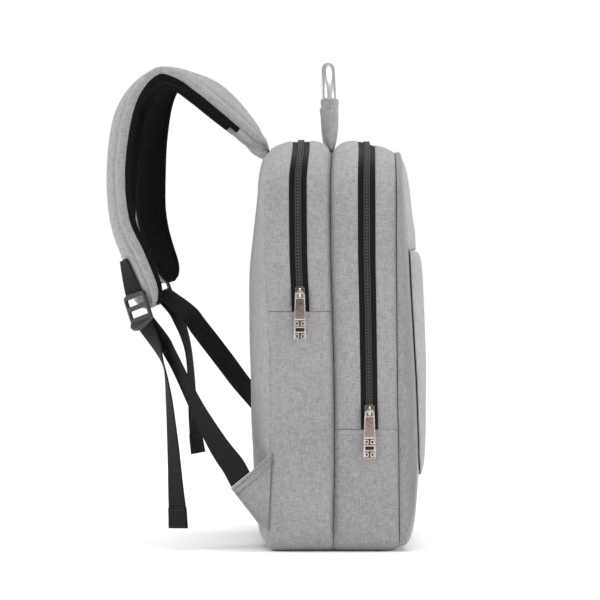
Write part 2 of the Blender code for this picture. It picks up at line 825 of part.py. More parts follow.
def make_coil(name, end, material):
    across = zip_middle(end)
    samples = body_outline()
    upper = [s for s in samples if s.z > end - SEAM_GAP]
    start = samples.index(upper[0])
    order = samples[start:] + samples[:start]
    upper = [s for s in order if s.z > end - SEAM_GAP]
    sections = []
    for i, sample in enumerate(upper):
        out = Vector((sample.out_x, 0, sample.out_z))
        lift = Z * (CLEAR if i in (0, len(upper) - 1) else 0.0)
        foot = gusset_point(sample, across) + lift + out * (2 * CLEAR - ZIP_TAPE_DROP)
        wide = Y * COIL_WIDTH / 2
        narrow = wide * 0.7
        crown = out * COIL_HEIGHT
        sections.append([foot + wide, foot - wide, foot - narrow + crown, foot + narrow + crown])
    loft(name, sections, material)


def make_slider(name, end, material):
    """The slider over the coil, with the bridge that holds the pull. Its origin is on the pull's axis."""
    axis = pull_axis(end)
    plate_low = COIL_HEIGHT - ZIP_TAPE_DROP + 3 * CLEAR
    plate_high = plate_low + SLIDER_PLATE
    inner = COIL_WIDTH / 2 + 3 * CLEAR
    outer = SLIDER_WIDTH / 2
    foot = -ZIP_TAPE_DROP / 2
    channel = [
        (outer, foot), (outer, plate_high), (-outer, plate_high), (-outer, foot),
        (-inner, foot), (-inner, plate_low), (inner, plate_low), (inner, foot),
    ]
    face = -BAG_WIDTH / 2
    sections = [
        [Vector((face - n, axis.y + y, axis.z + z)) for y, n in channel]
        for z in (-SLIDER_LENGTH / 2, SLIDER_LENGTH / 2)
    ]
    body = loft(name, sections, material)
    room = plate_high + BRIDGE_ROOM
    half = BRIDGE_LENGTH / 2
    sunk = plate_high - SLIDER_PLATE / 4
    arch = [
        (-half, sunk), (-half, room - BRIDGE_WALL), (-half / 2, room + BRIDGE_WALL),
        (half / 2, room + BRIDGE_WALL), (half, room - BRIDGE_WALL), (half, sunk),
        (half - BRIDGE_WALL, sunk), (half - BRIDGE_WALL, room - BRIDGE_WALL), (half / 2, room),
        (-half / 2, room), (BRIDGE_WALL - half, room - BRIDGE_WALL), (BRIDGE_WALL - half, sunk),
    ]
    sections = [
        [Vector((face - n, axis.y + y, axis.z + z)) for z, n in arch]
        for y in (-BRIDGE_WIDTH / 2, BRIDGE_WIDTH / 2)
    ]
    bridge = loft(name + "_bridge", sections, material)
    bridge.hide_render = True
    bridge.display_type = "WIRE"
    union = body.modifiers.new("bridge", "BOOLEAN")
    union.operation = "UNION"
    union.object = bridge


def pull_axis(end):
    """Where the pull's bar turns in the slider's bridge."""
    out = COIL_HEIGHT - ZIP_TAPE_DROP + 3 * CLEAR + SLIDER_PLATE + BRIDGE_ROOM / 2
    z = end + SLIDER_ABOVE_END
    back = seam_y(z, "back")
    y = back + (seam_y(z, "front") - back) * zip_middle(end)
    return Vector((-BAG_WIDTH / 2 - out, y, z))


def make_pull(name, end, material):
    """A long tab whose bar, over a window, turns in the slider's bridge. It hangs straight down."""
    neck = PULL_NECK / 2
    half = PULL_WIDTH / 2
    top = PULL_BAR / 2
    window = rectangle(BRIDGE_WIDTH / 2 + BRIDGE_WALL, top - PULL_BAR - PULL_WINDOW, top - PULL_BAR)
    corner = PULL_BAR
    outer = [
        (-half, corner - PULL_LENGTH), (corner - half, -PULL_LENGTH), (half - corner, -PULL_LENGTH),
        (half, corner - PULL_LENGTH), (neck, -PULL_WINDOW), (neck, top - corner), (neck - corner, top),
        (corner - neck, top), (-neck, top - corner), (-neck, -PULL_WINDOW),
    ]
    turn = Matrix((-Y, Z, -X)).transposed().to_4x4()
    pull = plate_with_holes(name, outer, [window], turn, PULL_THICKNESS, material)
    pull.location = pull_axis(end)


def handle_points():
    """The handle's centre line from the left seam to the right one."""
    seam = gusset_point(Sample(0, BAG_HEIGHT, 0, 1), PINCH[CENTRE_SEAM].across)
    half = [
        Vector((row.across * HANDLE_SPAN / 2, seam.y + HANDLE_LEAN * row.up, seam.z + HANDLE_RISE * row.up))
        for row in ARCH
    ]
    left = [Vector((-p.x, p.y, p.z)) for p in half[:-1]]
    return smooth_path(left + half[::-1], 2)


def ring_round(centre, along, wide, deep, count):
    side = Y.cross(along).normalized()
    loop = []
    for k in range(count):
        angle = 2 * math.pi * k / count
        loop.append(centre + side * wide * math.cos(angle) + Y * deep * math.sin(angle))
    return loop


def tube_between(name, outer, inner, material):
    """A wall between two rows of loops, joined at both ends."""
    count = len(outer[0])
    loops = outer + inner[::-1]
    points = [point for loop in loops for point in loop]
    faces = []
    for k in range(len(loops)):
        start = k * count
        after = (k + 1) % len(loops) * count
        for i in range(count):
            j = (i + 1) % count
            faces.append([start + i, start + j, after + j, after + i])
    return make_object(name, points, faces, material)


def make_handle(materials):
    sides = 10
    path = handle_points()
    low = path[0].z
    foot = low + (SLEEVE_TOP - low) * SLEEVE[SLEEVE_BORE].up
    inside = [p for p in path if p.z > foot]
    frames = []
    for i, point in enumerate(inside):
        along = (inside[min(i + 1, len(inside) - 1)] - inside[max(i - 1, 0)]).normalized()
        frames.append((point, along))
    outer = [ring_round(p, a, TUBE_RADIUS, TUBE_RADIUS, sides) for p, a in frames]
    bore = TUBE_RADIUS - TUBE_WALL
    inner = [ring_round(p, a, bore, bore, sides) for p, a in frames]
    tube_between("handle_tube", outer, inner, materials["aluminium"])
    half = path[: len(path) // 2 + 1]
    for hand, name in ((1, "left_handle_sleeve"), (-1, "right_handle_sleeve")):
        outer = []
        inner = []
        for row in SLEEVE:
            z = low + (SLEEVE_TOP - low) * row.up
            i = max(k for k in range(len(half) - 1) if half[k].z <= z)
            a, b = half[i], half[i + 1]
            centre = a.lerp(b, (z - a.z) / (b.z - a.z))
            along = (b - a).normalized()
            centre.x *= hand
            along.x *= hand
            outer.append(
                ring_round(centre, along, row.wide * SLEEVE_RADIUS, row.deep * SLEEVE_RADIUS, sides)
            )
            if row.up >= SLEEVE[SLEEVE_BORE].up:
                room = TUBE_RADIUS + TUBE_FIT
                inner.append(ring_round(centre, along, room, room, sides))
        count = sides
        loops = outer + inner[::-1]
        points = [point for loop in loops for point in loop]
        faces = [list(range(count))]
        for k in range(len(loops) - 1):
            start = k * count
            for i in range(count):
                j = (i + 1) % count
                faces.append([start + i, start + j, start + count + j, start + count + i])
        faces.append([len(points) - count + i for i in range(count)])
        make_object(name, points, faces, materials["grey_fabric"])


def wing_outline(hand, swing):
    """The wing's corners, swung away from the bag's side, and the way its outer face looks."""
    angle = math.radians(swing)
    away = Vector((hand * math.sin(angle), math.cos(angle), 0))
    outwards = Vector((hand * math.cos(angle), -math.sin(angle), 0))
    if outwards.dot(Y) < -math.cos(math.radians(45)):
        outwards = -outwards
    pinch = SEAM_PINCH * value_at(PINCH, "side", 0)
    corners = []
    for row in WING:
        z = row.up * BAG_HEIGHT
        root = Vector((hand * (BAG_WIDTH / 2 - pinch + CLEAR), seam_y(z, "back") + 2 * CLEAR, z))
        corners.append(root + away * row.reach * WING_REACH + outwards * CLEAR)
    return corners, outwards


def make_wing(name, hand, swing, material):
    corners, outwards = wing_outline(hand, swing)
    loft(name, [corners, [corner + outwards * WING_CLOTH for corner in corners]], material)


def hem_frame(hand, swing):
    """The last frame of the webbing that ends at the middle of the wing's hem."""
    corners, outwards = wing_outline(hand, swing)
    hem = corners[HEM_TIP] - corners[HEM_TOP]
    away = outwards.cross(hem).normalized()
    middle = (corners[HEM_TOP] + corners[HEM_TIP]) / 2
    if away.dot(middle - corners[-1]) < 0:
        away = -away
    return Frame(middle + outwards * WING_CLOTH / 2 + away * CLEAR, hem.normalized(), outwards, None)


def make_buckle(name, frame, along, material):
    """A ladder-lock buckle: a plate with two slots, and a round lip bent up to lift it by."""
    half = BUCKLE_WIDTH / 2
    long = BUCKLE_LENGTH / 2
    corner = BUCKLE_BAR
    outer = [(corner - half, long), (half - corner, long), (half, long - corner), (half, -long)]
    steps = 8
    for step in range(1, steps):
        angle = -math.pi * step / steps
        outer.append((half * math.cos(angle), BUCKLE_LIP * math.sin(angle) - long))
    outer += [(-half, -long), (-half, long - corner)]
    slot = WEBBING_WIDTH / 2 + 2 * CLEAR
    space = (BUCKLE_LENGTH - 3 * BUCKLE_BAR) / 2
    upper = rectangle(slot, long - BUCKLE_BAR - space, long - BUCKLE_BAR)
    lower = rectangle(slot, BUCKLE_BAR - long, BUCKLE_BAR - long + space)
    place = Matrix.Translation(frame.centre) @ Matrix((-frame.side, -along, frame.out)).transposed().to_4x4()
    buckle = plate_with_holes(name, outer, [upper, lower], Matrix(), BUCKLE_THICKNESS, material)
    lean = math.radians(LIP_BEND)
    body = bmesh.new()
    body.from_mesh(buckle.data)
    everything = [*body.verts, *body.edges, *body.faces]
    bmesh.ops.bisect_plane(body, geom=everything, plane_co=(0, -long, 0), plane_no=(0, 1, 0))
    for vertex in body.verts:
        past = -long - vertex.co.y
        if past > CLEAR:
            depth = vertex.co.z
            vertex.co.y = depth * math.sin(lean) - long - past * math.cos(lean)
            vertex.co.z = past * math.sin(lean) + depth * math.cos(lean)
    body.transform(place)
    body.to_mesh(buckle.data)
    body.free()


def twisted(frame, degrees):
    angle = math.radians(degrees)
    side = frame.side * math.cos(angle) - frame.out * math.sin(angle)
    return frame._replace(side=side, out=frame.out * math.cos(angle) + frame.side * math.sin(angle))


def make_strap(side_name, hand, pad, lower, tail, swing, materials):
    cloth = materials["grey_fabric"]
    mesh = materials["black_mesh"]
    webbing = materials["black_webbing"]
    frames = route_frames(pad, hand, 4)
    whole = lengths_along(frames)[-1]
    root = [STRAP_ROOT_LENGTH * share for share in (0, 0.5, 1)]
    rest = [STRAP_ROOT_LENGTH + (whole - STRAP_ROOT_LENGTH) * share for share in PAD_STATIONS]
    pad_layer(side_name + "_strap_cover", frames, root + rest, "cover", cloth)
    pad_layer(side_name + "_strap_root", frames, root, "mesh", cloth)
    pad_layer(side_name + "_strap_mesh", frames, [root[-1] + CLEAR] + rest, "mesh", mesh)

    tab_frames = []
    for k in range(TAB_STEPS + 1):
        share = k / TAB_STEPS
        frame = frame_at(frames, whole - TAB_LENGTH + (TAB_LENGTH - TAB_FROM_END) * share)
        twist = math.radians(TAB_TWIST * share)
        high = (STRAP_MESH + STRAP_COVER) / 2 * frame.row.thick + sum(pad_height(frame.row, 0)) + CLEAR
        lift = high + WEBBING / 2 + WEBBING_WIDTH / 2 * math.sin(twist)
        frame = frame._replace(centre=frame.centre + frame.out * lift)
        tab_frames.append(twisted(frame, hand * TAB_TWIST * share))
    ribbon(side_name + "_strap_tab", tab_frames, WEBBING_WIDTH, WEBBING, webbing)

    last = tab_frames[-1]
    along = last.out.cross(last.side).normalized()
    middle = last._replace(centre=last.centre + along * (BUCKLE_LENGTH / 2 + CLEAR))
    make_buckle(side_name + "_strap_buckle", middle, along, materials["buckle_plastic"])
    foot = middle.centre + along * (BUCKLE_LENGTH / 2 - BUCKLE_BAR / 2)
    under = -last.out * ((BUCKLE_THICKNESS + WEBBING) / 2 + CLEAR)
    start = last._replace(centre=foot + under)
    ribbon(
        side_name + "_lower_webbing",
        [start, *route_frames(lower, hand, 2), hem_frame(hand, swing)],
        WEBBING_WIDTH,
        WEBBING,
        webbing,
    )
    below = start._replace(centre=start.centre + along * TAIL_START + last.out * (WEBBING + CLEAR))
    ribbon(
        side_name + "_webbing_tail",
        [below, *route_frames(tail, hand, 2)],
        WEBBING_WIDTH,
        WEBBING,
        webbing,
        HEM_LENGTH,
    )
    make_wing(side_name + "_wing", hand, swing, cloth)


def main():
    clear_scene()
    materials = {
        "grey_fabric": make_material("grey_fabric", (0.38, 0.37, 0.39), 0.85),
        "black_mesh": make_material("black_mesh", (0.012, 0.010, 0.011), 0.9),
        "black_webbing": make_material("black_webbing", (0.02, 0.018, 0.019), 0.7),
        "zipper_tape": make_material("zipper_tape", (0.02, 0.018, 0.019), 0.7),
        "zipper_coil": make_material("zipper_coil", (0.03, 0.028, 0.03), 0.5),
        "buckle_plastic": make_material("buckle_plastic", (0.03, 0.029, 0.03), 0.45),
        "aluminium": make_material("aluminium", (0.85, 0.85, 0.86), 0.3, 1.0),
        "pull_metal": make_material("pull_metal", (0.45, 0.40, 0.37), 0.25, 1.0),
    }
    make_body(materials)
    for name, end in (("rear", REAR_ZIP_END), ("front", FRONT_ZIP_END)):
        make_coil(name + "_zipper_coil", end, materials["zipper_coil"])
        make_slider(name + "_slider", end, materials["pull_metal"])
        make_pull(name + "_pull", end, materials["pull_metal"])
    make_handle(materials)
    make_strap("left", -1, LEFT_PAD, LEFT_LOWER, LEFT_TAIL, LEFT_WING_SWING, materials)
    make_strap("right", 1, RIGHT_PAD, RIGHT_LOWER, RIGHT_TAIL, RIGHT_WING_SWING, materials)


main()
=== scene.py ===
# %% [markdown]
# # A laptop backpack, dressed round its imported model
#
# The bag stands on its base with its front towards -Y and its shoulder straps towards +Y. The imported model
# gives the frame that every piece here sits in, in metres. Each step makes one kind of piece as it is
# sewn or moulded on the real bag, and hides the plain solid that stood for it.

# %% Frame and tools
import json
import math
from collections import namedtuple

import bmesh
import bpy
import numpy as np
from mathutils import Matrix, Vector, noise
from mathutils.kdtree import KDTree

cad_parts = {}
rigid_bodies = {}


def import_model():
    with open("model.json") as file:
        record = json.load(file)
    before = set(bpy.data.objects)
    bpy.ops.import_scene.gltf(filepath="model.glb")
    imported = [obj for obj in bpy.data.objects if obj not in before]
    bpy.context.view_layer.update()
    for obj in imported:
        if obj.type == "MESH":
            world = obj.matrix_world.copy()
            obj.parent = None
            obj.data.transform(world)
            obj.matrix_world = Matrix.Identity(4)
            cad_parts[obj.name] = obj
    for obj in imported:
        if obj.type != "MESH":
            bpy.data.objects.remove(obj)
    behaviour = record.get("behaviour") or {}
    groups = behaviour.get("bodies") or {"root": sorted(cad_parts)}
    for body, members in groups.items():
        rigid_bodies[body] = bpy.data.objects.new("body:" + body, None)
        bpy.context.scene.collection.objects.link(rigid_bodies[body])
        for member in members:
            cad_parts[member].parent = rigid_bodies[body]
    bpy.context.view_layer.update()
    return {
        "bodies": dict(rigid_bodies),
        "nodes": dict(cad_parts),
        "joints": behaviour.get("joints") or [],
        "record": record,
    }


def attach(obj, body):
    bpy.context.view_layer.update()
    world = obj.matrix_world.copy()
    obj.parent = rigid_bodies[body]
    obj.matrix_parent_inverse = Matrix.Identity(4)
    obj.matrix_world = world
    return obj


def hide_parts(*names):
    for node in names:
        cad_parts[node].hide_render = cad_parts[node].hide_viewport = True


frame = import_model()
print("solids in the frame:", len(frame["nodes"]))


def add_object(name, data):
    obj = bpy.data.objects.new(name, data)
    bpy.context.scene.collection.objects.link(obj)
    return obj


# %% [markdown]
# ## Camera, floor and light
#
# The photo is a level side view from far away, so a long lens stands far to the wearer's left. A product
# photo's even light could be a full ring of lamps. A pale world with an overhead sun gives the same bright
# top and grey side, and keeps the floor evenly white to the horizon. Three soft lamps shape the near side,
# the front and the back.

# %% Camera
CAMERA_PLACE = (-2.750, 0.0378, 0.2630)
LENS = 149.8
SENSOR = 36
FAR_CLIP = 100
camera = add_object("camera", bpy.data.cameras.new("camera"))
camera.data.lens = LENS
camera.data.sensor_width = SENSOR
camera.data.clip_end = FAR_CLIP
camera.location = CAMERA_PLACE
camera.rotation_euler = (math.radians(90), 0, math.radians(-90))
bpy.context.scene.camera = camera

# %% Lamps and world
Lamp = namedtuple("Lamp", "name place size power")
LAMPS = (
    Lamp("lamp_near_side", (-2.6, -1.3, 1.6), 1.6, 9),
    Lamp("lamp_front", (-0.9, -2.3, 1.2), 1.3, 32),
    Lamp("lamp_behind", (-0.7, 2.3, 1.4), 1.3, 34),
)
LAMP_AIM = Vector((0, 0, 0.25))
SUN_POWER = 2.4
SUN_SPREAD = 50
SUN_TILT = (4, 7, 0)
SEEN_WHITE = 1.0
GIVEN_LIGHT = 0.40
for row in LAMPS:
    lamp = add_object(row.name, bpy.data.lights.new(row.name, "AREA"))
    lamp.data.size = row.size
    lamp.data.energy = row.power
    lamp.location = row.place
    lamp.rotation_euler = (LAMP_AIM - Vector(row.place)).to_track_quat("-Z", "Y").to_euler()
overhead = add_object("lamp_overhead", bpy.data.lights.new("lamp_overhead", "SUN"))
overhead.data.energy = SUN_POWER
overhead.data.angle = math.radians(SUN_SPREAD)
overhead.rotation_euler = [math.radians(angle) for angle in SUN_TILT]
world = bpy.data.worlds.new("studio")
world.use_nodes = True
sky = world.node_tree.nodes["Background"]
sky.inputs["Color"].default_value = (1, 1, 1, 1)
path = world.node_tree.nodes.new("ShaderNodeLightPath")
strength = world.node_tree.nodes.new("ShaderNodeMapRange")
strength.inputs["To Min"].default_value = GIVEN_LIGHT
strength.inputs["To Max"].default_value = SEEN_WHITE
world.node_tree.links.new(path.outputs["Is Camera Ray"], strength.inputs["Value"])
world.node_tree.links.new(strength.outputs["Result"], sky.inputs["Strength"])
bpy.context.scene.world = world
bpy.context.scene.view_settings.view_transform = "Standard"
print("lamps:", len(LAMPS))

# %% [markdown]
# ## Writing node trees
#
# Weave, ribs and grain are sums of a few waves and noises. Typed out node by node they are hard to read,
# so a small class wraps a socket and turns + - * / into Math nodes, and one method adds any other node.


# %% Sockets that do maths
class Wire:
    """An output socket of a node tree that can be used in sums."""

    def __init__(self, tree, socket):
        self.tree = tree
        self.socket = socket

    def math(self, operation, *others):
        return self.tree.node("ShaderNodeMath", {"operation": operation}, *[self, *others])

    def __add__(self, other):
        return self.math("ADD", other)

    __radd__ = __add__

    def __sub__(self, other):
        return self.math("SUBTRACT", other)

    def __rsub__(self, other):
        return self.tree.node("ShaderNodeMath", {"operation": "SUBTRACT"}, other, self)

    def __mul__(self, other):
        return self.math("MULTIPLY", other)

    __rmul__ = __mul__

    def __truediv__(self, other):
        return self.math("DIVIDE", other)


class Nodes:
    """A node tree, and the one method that adds nodes to it."""

    def __init__(self, tree):
        self.tree = tree

    def feed(self, socket, value):
        """Links a wire to a socket, or sets a constant on it."""
        if isinstance(value, Wire):
            self.tree.links.new(value.socket, socket)
        else:
            socket.default_value = value

    def node(self, kind, settings=None, *places, output=0, **names):
        node = self.tree.nodes.new(kind)
        for key, value in (settings or {}).items():
            setattr(node, key, value)
        by_place = [s for s in node.inputs if s.enabled]
        wanted = [*zip(by_place, places)]
        wanted += [(node.inputs[key.replace("_", " ")], value) for key, value in names.items()]
        for socket, value in wanted:
            self.feed(socket, value)
        self.last = node
        return Wire(self, node.outputs[output]) if node.outputs else None

    def colour(self, amount, first, second):
        """A mix from the first colour to the second."""
        mix = self.tree.nodes.new("ShaderNodeMix")
        mix.data_type = "RGBA"
        self.feed(mix.inputs[0], amount)
        self.feed(mix.inputs[6], (*first, 1))
        self.feed(mix.inputs[7], (*second, 1))
        return Wire(self, mix.outputs[2])


# %% [markdown]
# ## Cloth, webbing, mesh and metal
#
# The grey cloth is a plain weave of light and dark yarns. Each yarn changes tone slowly along its length
# and sharply across it, which gives the fine crosshatch of the real cloth. The pattern reads the piece's
# own UV map, whose unit is the metre, so the yarns follow every curve of the bag.


# %% A finish
def start_finish(name, roughness, metallic=0.0, **constants):
    """A material, its tree and its shader. Constants are set on the shader's own sockets."""
    material = bpy.data.materials.new(name)
    material.use_nodes = True
    shader = material.node_tree.nodes["Principled BSDF"]
    shader.inputs["Roughness"].default_value = roughness
    shader.inputs["Metallic"].default_value = metallic
    for key, value in constants.items():
        shader.inputs[key.replace("_", " ")].default_value = value
    return material, Nodes(material.node_tree), shader


def link_finish(nodes, shader, colour, height=None, lift=0.001, roughness=None):
    """Joins the colour, and the bump in metres, to the shader."""
    nodes.tree.links.new(colour.socket, shader.inputs["Base Color"])
    if roughness is not None:
        nodes.tree.links.new(roughness.socket, shader.inputs["Roughness"])
    if height is not None:
        bump = nodes.node("ShaderNodeBump", None, Strength=1.0, Distance=lift, Height=height)
        nodes.tree.links.new(bump.socket, shader.inputs["Normal"])


def cloth_axes(nodes):
    """The two UV coordinates of a piece, in metres."""
    nodes.node("ShaderNodeUVMap", {"uv_map": "cloth"})
    uv = Wire(nodes, nodes.last.outputs[0])
    nodes.node("ShaderNodeSeparateXYZ", None, uv)
    split = nodes.last
    return Wire(nodes, split.outputs[0]), Wire(nodes, split.outputs[1])


def flat_noise(nodes, x, y, scale=1.0, detail=2.0):
    place = nodes.node("ShaderNodeCombineXYZ", None, x, y, 0.0)
    return nodes.node(
        "ShaderNodeTexNoise", {"noise_dimensions": "2D"}, Vector=place, Scale=scale, Detail=detail
    )


TAU = 2 * math.pi


def waves(wire, pitch):
    """A smooth wave between 0 and 1, a pitch long."""
    return (wire * (TAU / pitch)).math("SINE") * 0.5 + 0.5


def humps(wire, pitch):
    """Round humps between 0 and 1, a pitch long, like yarns that lie side by side."""
    return (wire * (TAU / 2 / pitch)).math("SINE").math("ABSOLUTE")


# Lengths are in metres and rates in changes to the metre. The shifts keep the yarns apart in the noise.
YARN = 0.00105
YARN_RATE = 150.0
WARP_SHIFT = 7.31
WEFT_SHIFT = 5.17
PATCH_RATE = 9.0
PATCH_SHARE = 0.15
TONE_RANGE = (0.22, 0.78)
WEBBING_RIB = 0.0016
WEBBING_YARN = 0.0011
MESH_CELL = 0.0042
MESH_SLANT = 0.75
TAPE_RIDGE = 0.0021


def woven_cloth(name, light, dark, lift=0.00045):
    """A plain weave of yarns that change tone along their length."""
    material, nodes, shader = start_finish(name, 0.88, Sheen_Weight=0.25, Sheen_Roughness=0.5)
    u, v = cloth_axes(nodes)
    warp = (u / YARN).math("FLOOR")
    weft = (v / YARN).math("FLOOR")
    warp_tone = flat_noise(nodes, warp * WARP_SHIFT, v * YARN_RATE)
    weft_tone = flat_noise(nodes, u * YARN_RATE, weft * WEFT_SHIFT)
    over = ((warp + weft) / 2).math("FRACT") * 2
    tone = over * warp_tone + (1 - over) * weft_tone
    round_yarn = over * humps(u, YARN) + (1 - over) * humps(v, YARN)
    patch = (flat_noise(nodes, u * PATCH_RATE, v * PATCH_RATE) - 0.5) * PATCH_SHARE
    spread = nodes.node("ShaderNodeMapRange", None, tone + patch, *TONE_RANGE, 0.0, 1.0)
    # Each yarn's random tone is painted darker towards its sides, where it dips under its neighbour: painted
    # shade between the yarns.
    tone_with_painted_shade = spread * (0.6 + 0.4 * round_yarn)
    link_finish(nodes, shader, nodes.colour(tone_with_painted_shade, dark, light), round_yarn * (0.6 + 0.4 * tone), lift)
    return material


def ribbed_webbing(name, dark, light):
    """Webbing has ribs across it and fine yarns along it."""
    material, nodes, shader = start_finish(name, 0.7, Specular_IOR_Level=0.18)
    u, v = cloth_axes(nodes)
    height = waves(v, WEBBING_RIB) * 0.7 + waves(u, WEBBING_YARN) * 0.3
    fleck = flat_noise(nodes, u * 900.0, v * 700.0)
    # The rib crests are painted lighter and the hollows between them darker: painted light and shade on the
    # ribs.
    link_finish(nodes, shader, nodes.colour(height * 0.6 + fleck * 0.4, dark, light), height, 0.0006)
    return material


def air_mesh(name, dark, light):
    """A black spacer mesh: diamonds of knitted loops round small holes, which are painted darker as the
    shade inside them.
    """
    material, nodes, shader = start_finish(name, 0.9, Specular_IOR_Level=0.08)
    u, v = cloth_axes(nodes)
    hole = humps(u + v * MESH_SLANT, MESH_CELL) * humps(u - v * MESH_SLANT, MESH_CELL)
    fleck = flat_noise(nodes, u * 1200.0, v * 1200.0)
    # The holes are painted dark: painted shade inside the mesh's holes.
    tone_with_painted_shade = (1 - hole) * 0.7 + fleck * 0.3
    link_finish(nodes, shader, nodes.colour(tone_with_painted_shade, dark, light), 1 - hole, 0.0011)
    return material


def coated_tape(name, dark, light):
    """The zip's water-tight tape: smooth black film with faint ridges along it."""
    material, nodes, shader = start_finish(name, 0.42, Specular_IOR_Level=0.12)
    u, v = cloth_axes(nodes)
    ridges = waves(v, TAPE_RIDGE)
    grain = flat_noise(nodes, u * 260.0, v * 900.0)
    # The ridge crests are painted lighter and the hollows between them darker: painted light and shade on
    # the ridges.
    colour = nodes.colour(ridges * 0.5 + grain * 0.5, dark, light)
    link_finish(nodes, shader, colour, ridges * 0.6 + grain * 0.4, 0.0003, 0.36 + grain * 0.2)
    return material


def plain_grain(name, colours, roughness, metallic=0.0, size=900.0, lift=0.0001, stretch=(1, 1, 1)):
    """Metal, plastic or thread with a fine grain in place, read from the object's own coordinates."""
    material, nodes, shader = start_finish(name, roughness, metallic)
    nodes.node("ShaderNodeTexCoord")
    place = Wire(nodes, nodes.last.outputs["Object"])
    scaled = nodes.node("ShaderNodeMapping", None, Vector=place, Scale=stretch)
    grain = nodes.node("ShaderNodeTexNoise", None, Vector=scaled, Scale=size, Detail=3.0)
    soft = nodes.node("ShaderNodeTexNoise", None, Vector=place, Scale=60.0)
    rough = roughness * 0.75 + grain * roughness * 0.35 + soft * roughness * 0.15
    link_finish(nodes, shader, nodes.colour(grain * 0.7 + soft * 0.3, *colours), grain, lift, rough)
    return material


CLOTH = woven_cloth("grey_cloth", (0.52, 0.508, 0.526), (0.225, 0.218, 0.230))
WEBBING_FINISH = ribbed_webbing("black_webbing_weave", (0.002, 0.002, 0.002), (0.018, 0.016, 0.017))
MESH_FINISH = air_mesh("black_air_mesh", (0.0015, 0.0015, 0.0015), (0.011, 0.009, 0.010))
TAPE_FINISH = coated_tape("coated_zip_tape", (0.002, 0.0018, 0.002), (0.012, 0.0105, 0.011))
COIL_FINISH = plain_grain("coil_nylon", ((0.022, 0.021, 0.022), (0.06, 0.058, 0.06)), 0.35)
COIL_BED = plain_grain("coil_bed", ((0.004, 0.004, 0.004), (0.012, 0.011, 0.012)), 0.8)
PLASTIC = plain_grain(
    "buckle_plastic_grain", ((0.012, 0.011, 0.012), (0.03, 0.029, 0.03)), 0.4, lift=0.0002
)
ALUMINIUM = plain_grain(
    "satin_aluminium", ((0.72, 0.72, 0.73), (0.88, 0.88, 0.89)), 0.30, 1.0, 700.0, 0.00003, (0.15, 1, 1)
)
PULL_METAL = plain_grain("cast_pull_metal", ((0.50, 0.44, 0.41), (0.66, 0.59, 0.56)), 0.22, 1.0, 500.0)
# A darker copy of the pull metal: painted shade in the pull's sunk panel.
PULL_SUNK_PAINTED_SHADE = plain_grain("sunk_pull_metal", ((0.25, 0.185, 0.165), (0.30, 0.225, 0.20)), 0.16, 1.0, 300.0)
# A near-black copy of the pull metal: painted shade in the pull's slot and in the recesses under its blocks.
PULL_RECESS_PAINTED_SHADE = plain_grain("dark_pull_metal", ((0.03, 0.024, 0.022), (0.06, 0.05, 0.045)), 0.4, 1.0, 500.0)
# Thread coloured dark as painted shade along the stitch rows and in the sewn grooves.
THREAD_WITH_PAINTED_SHADE = plain_grain("dark_thread", ((0.09, 0.086, 0.09), (0.15, 0.145, 0.15)), 0.7)
BLACK_THREAD = plain_grain("black_thread", ((0.012, 0.011, 0.012), (0.05, 0.048, 0.05)), 0.6)
print("finishes:", len(bpy.data.materials))

# %% [markdown]
# ## Sizes and tables
#
# The same named sizes and tables that the solids are made from. Repeating them here puts every dressed
# piece in the space of its solid, and lets the cloth be sampled much more finely than the solids are.

# %% Sizes and tables
# Body
BAG_WIDTH = 0.300
BAG_HEIGHT = 0.433
BASE_DEPTH = 0.1387
TOP_RADIUS = 0.060
BASE_RADIUS = 0.022
SEAM_PINCH = 0.012
BACK_BULGE = 0.0228
FRONT_BULGE = 0.037
POCKET_WALL = 0.0035

# Front face inside its border, and the pocket on it
FACE_WIDTH = 0.284
FACE_LOW = 0.079
FACE_DROP = 0.018
FACE_HIGH = BAG_HEIGHT - FACE_DROP
FACE_LOW_RADIUS = 0.030
FACE_HIGH_RADIUS = 0.046
BORDER_PUFF = 0.004
POCKET_MOUTH = 0.316

# Zips
REAR_ZIP_END = 0.251
FRONT_ZIP_END = 0.128
ZIP_TAPE_DROP = 0.0008
COIL_WIDTH = 0.0065
COIL_HEIGHT = 0.0017
SLIDER_WIDTH = 0.0105
SLIDER_LENGTH = 0.0145
SLIDER_PLATE = 0.0020
SLIDER_ABOVE_END = 0.0195
BRIDGE_WIDTH = 0.0024
BRIDGE_WALL = 0.0012
BRIDGE_LENGTH = 0.0110
BRIDGE_ROOM = 0.0030
PULL_LENGTH = 0.0490
PULL_WIDTH = 0.0126
PULL_NECK = 0.0108
PULL_THICKNESS = 0.0016
PULL_BAR = 0.0018

# Handle
TUBE_RADIUS = 0.0069
HANDLE_SPAN = 0.128
HANDLE_RISE = 0.0965
HANDLE_LEAN = 0.0030
SLEEVE_ABOVE = 0.045
SLEEVE_TOP = BAG_HEIGHT + SLEEVE_ABOVE
SLEEVE_RADIUS = 0.0092

# Shoulder straps
STRAP_REACH = 0.150
STRAP_WIDTH = 0.062
STRAP_COVER = 0.008
STRAP_MESH = 0.007
STRAP_CURL = 0.0095
STRAP_PUFF = 0.006
STRAP_ROOT_LENGTH = 0.046
STRAP_END_RADIUS = 0.024
TAB_LENGTH = 0.056
TAB_FROM_END = 0.020
TAB_STEPS = 6
WEBBING_WIDTH = 0.025
WEBBING = 0.0018
HEM_LENGTH = 0.022
TAB_TWIST = 18
LIP_BEND = 50
TAIL_START = 0.0049
BUCKLE_WIDTH = 0.033
BUCKLE_LENGTH = 0.030
BUCKLE_LIP = 0.013
BUCKLE_THICKNESS = 0.004
BUCKLE_BAR = 0.005
WING_REACH = 0.0406
WING_CLOTH = 0.003
CLEAR = 0.0003


def table(kind, *rows):
    """Rows of one kind, each given as plain numbers."""
    return tuple(kind(*row) for row in rows)


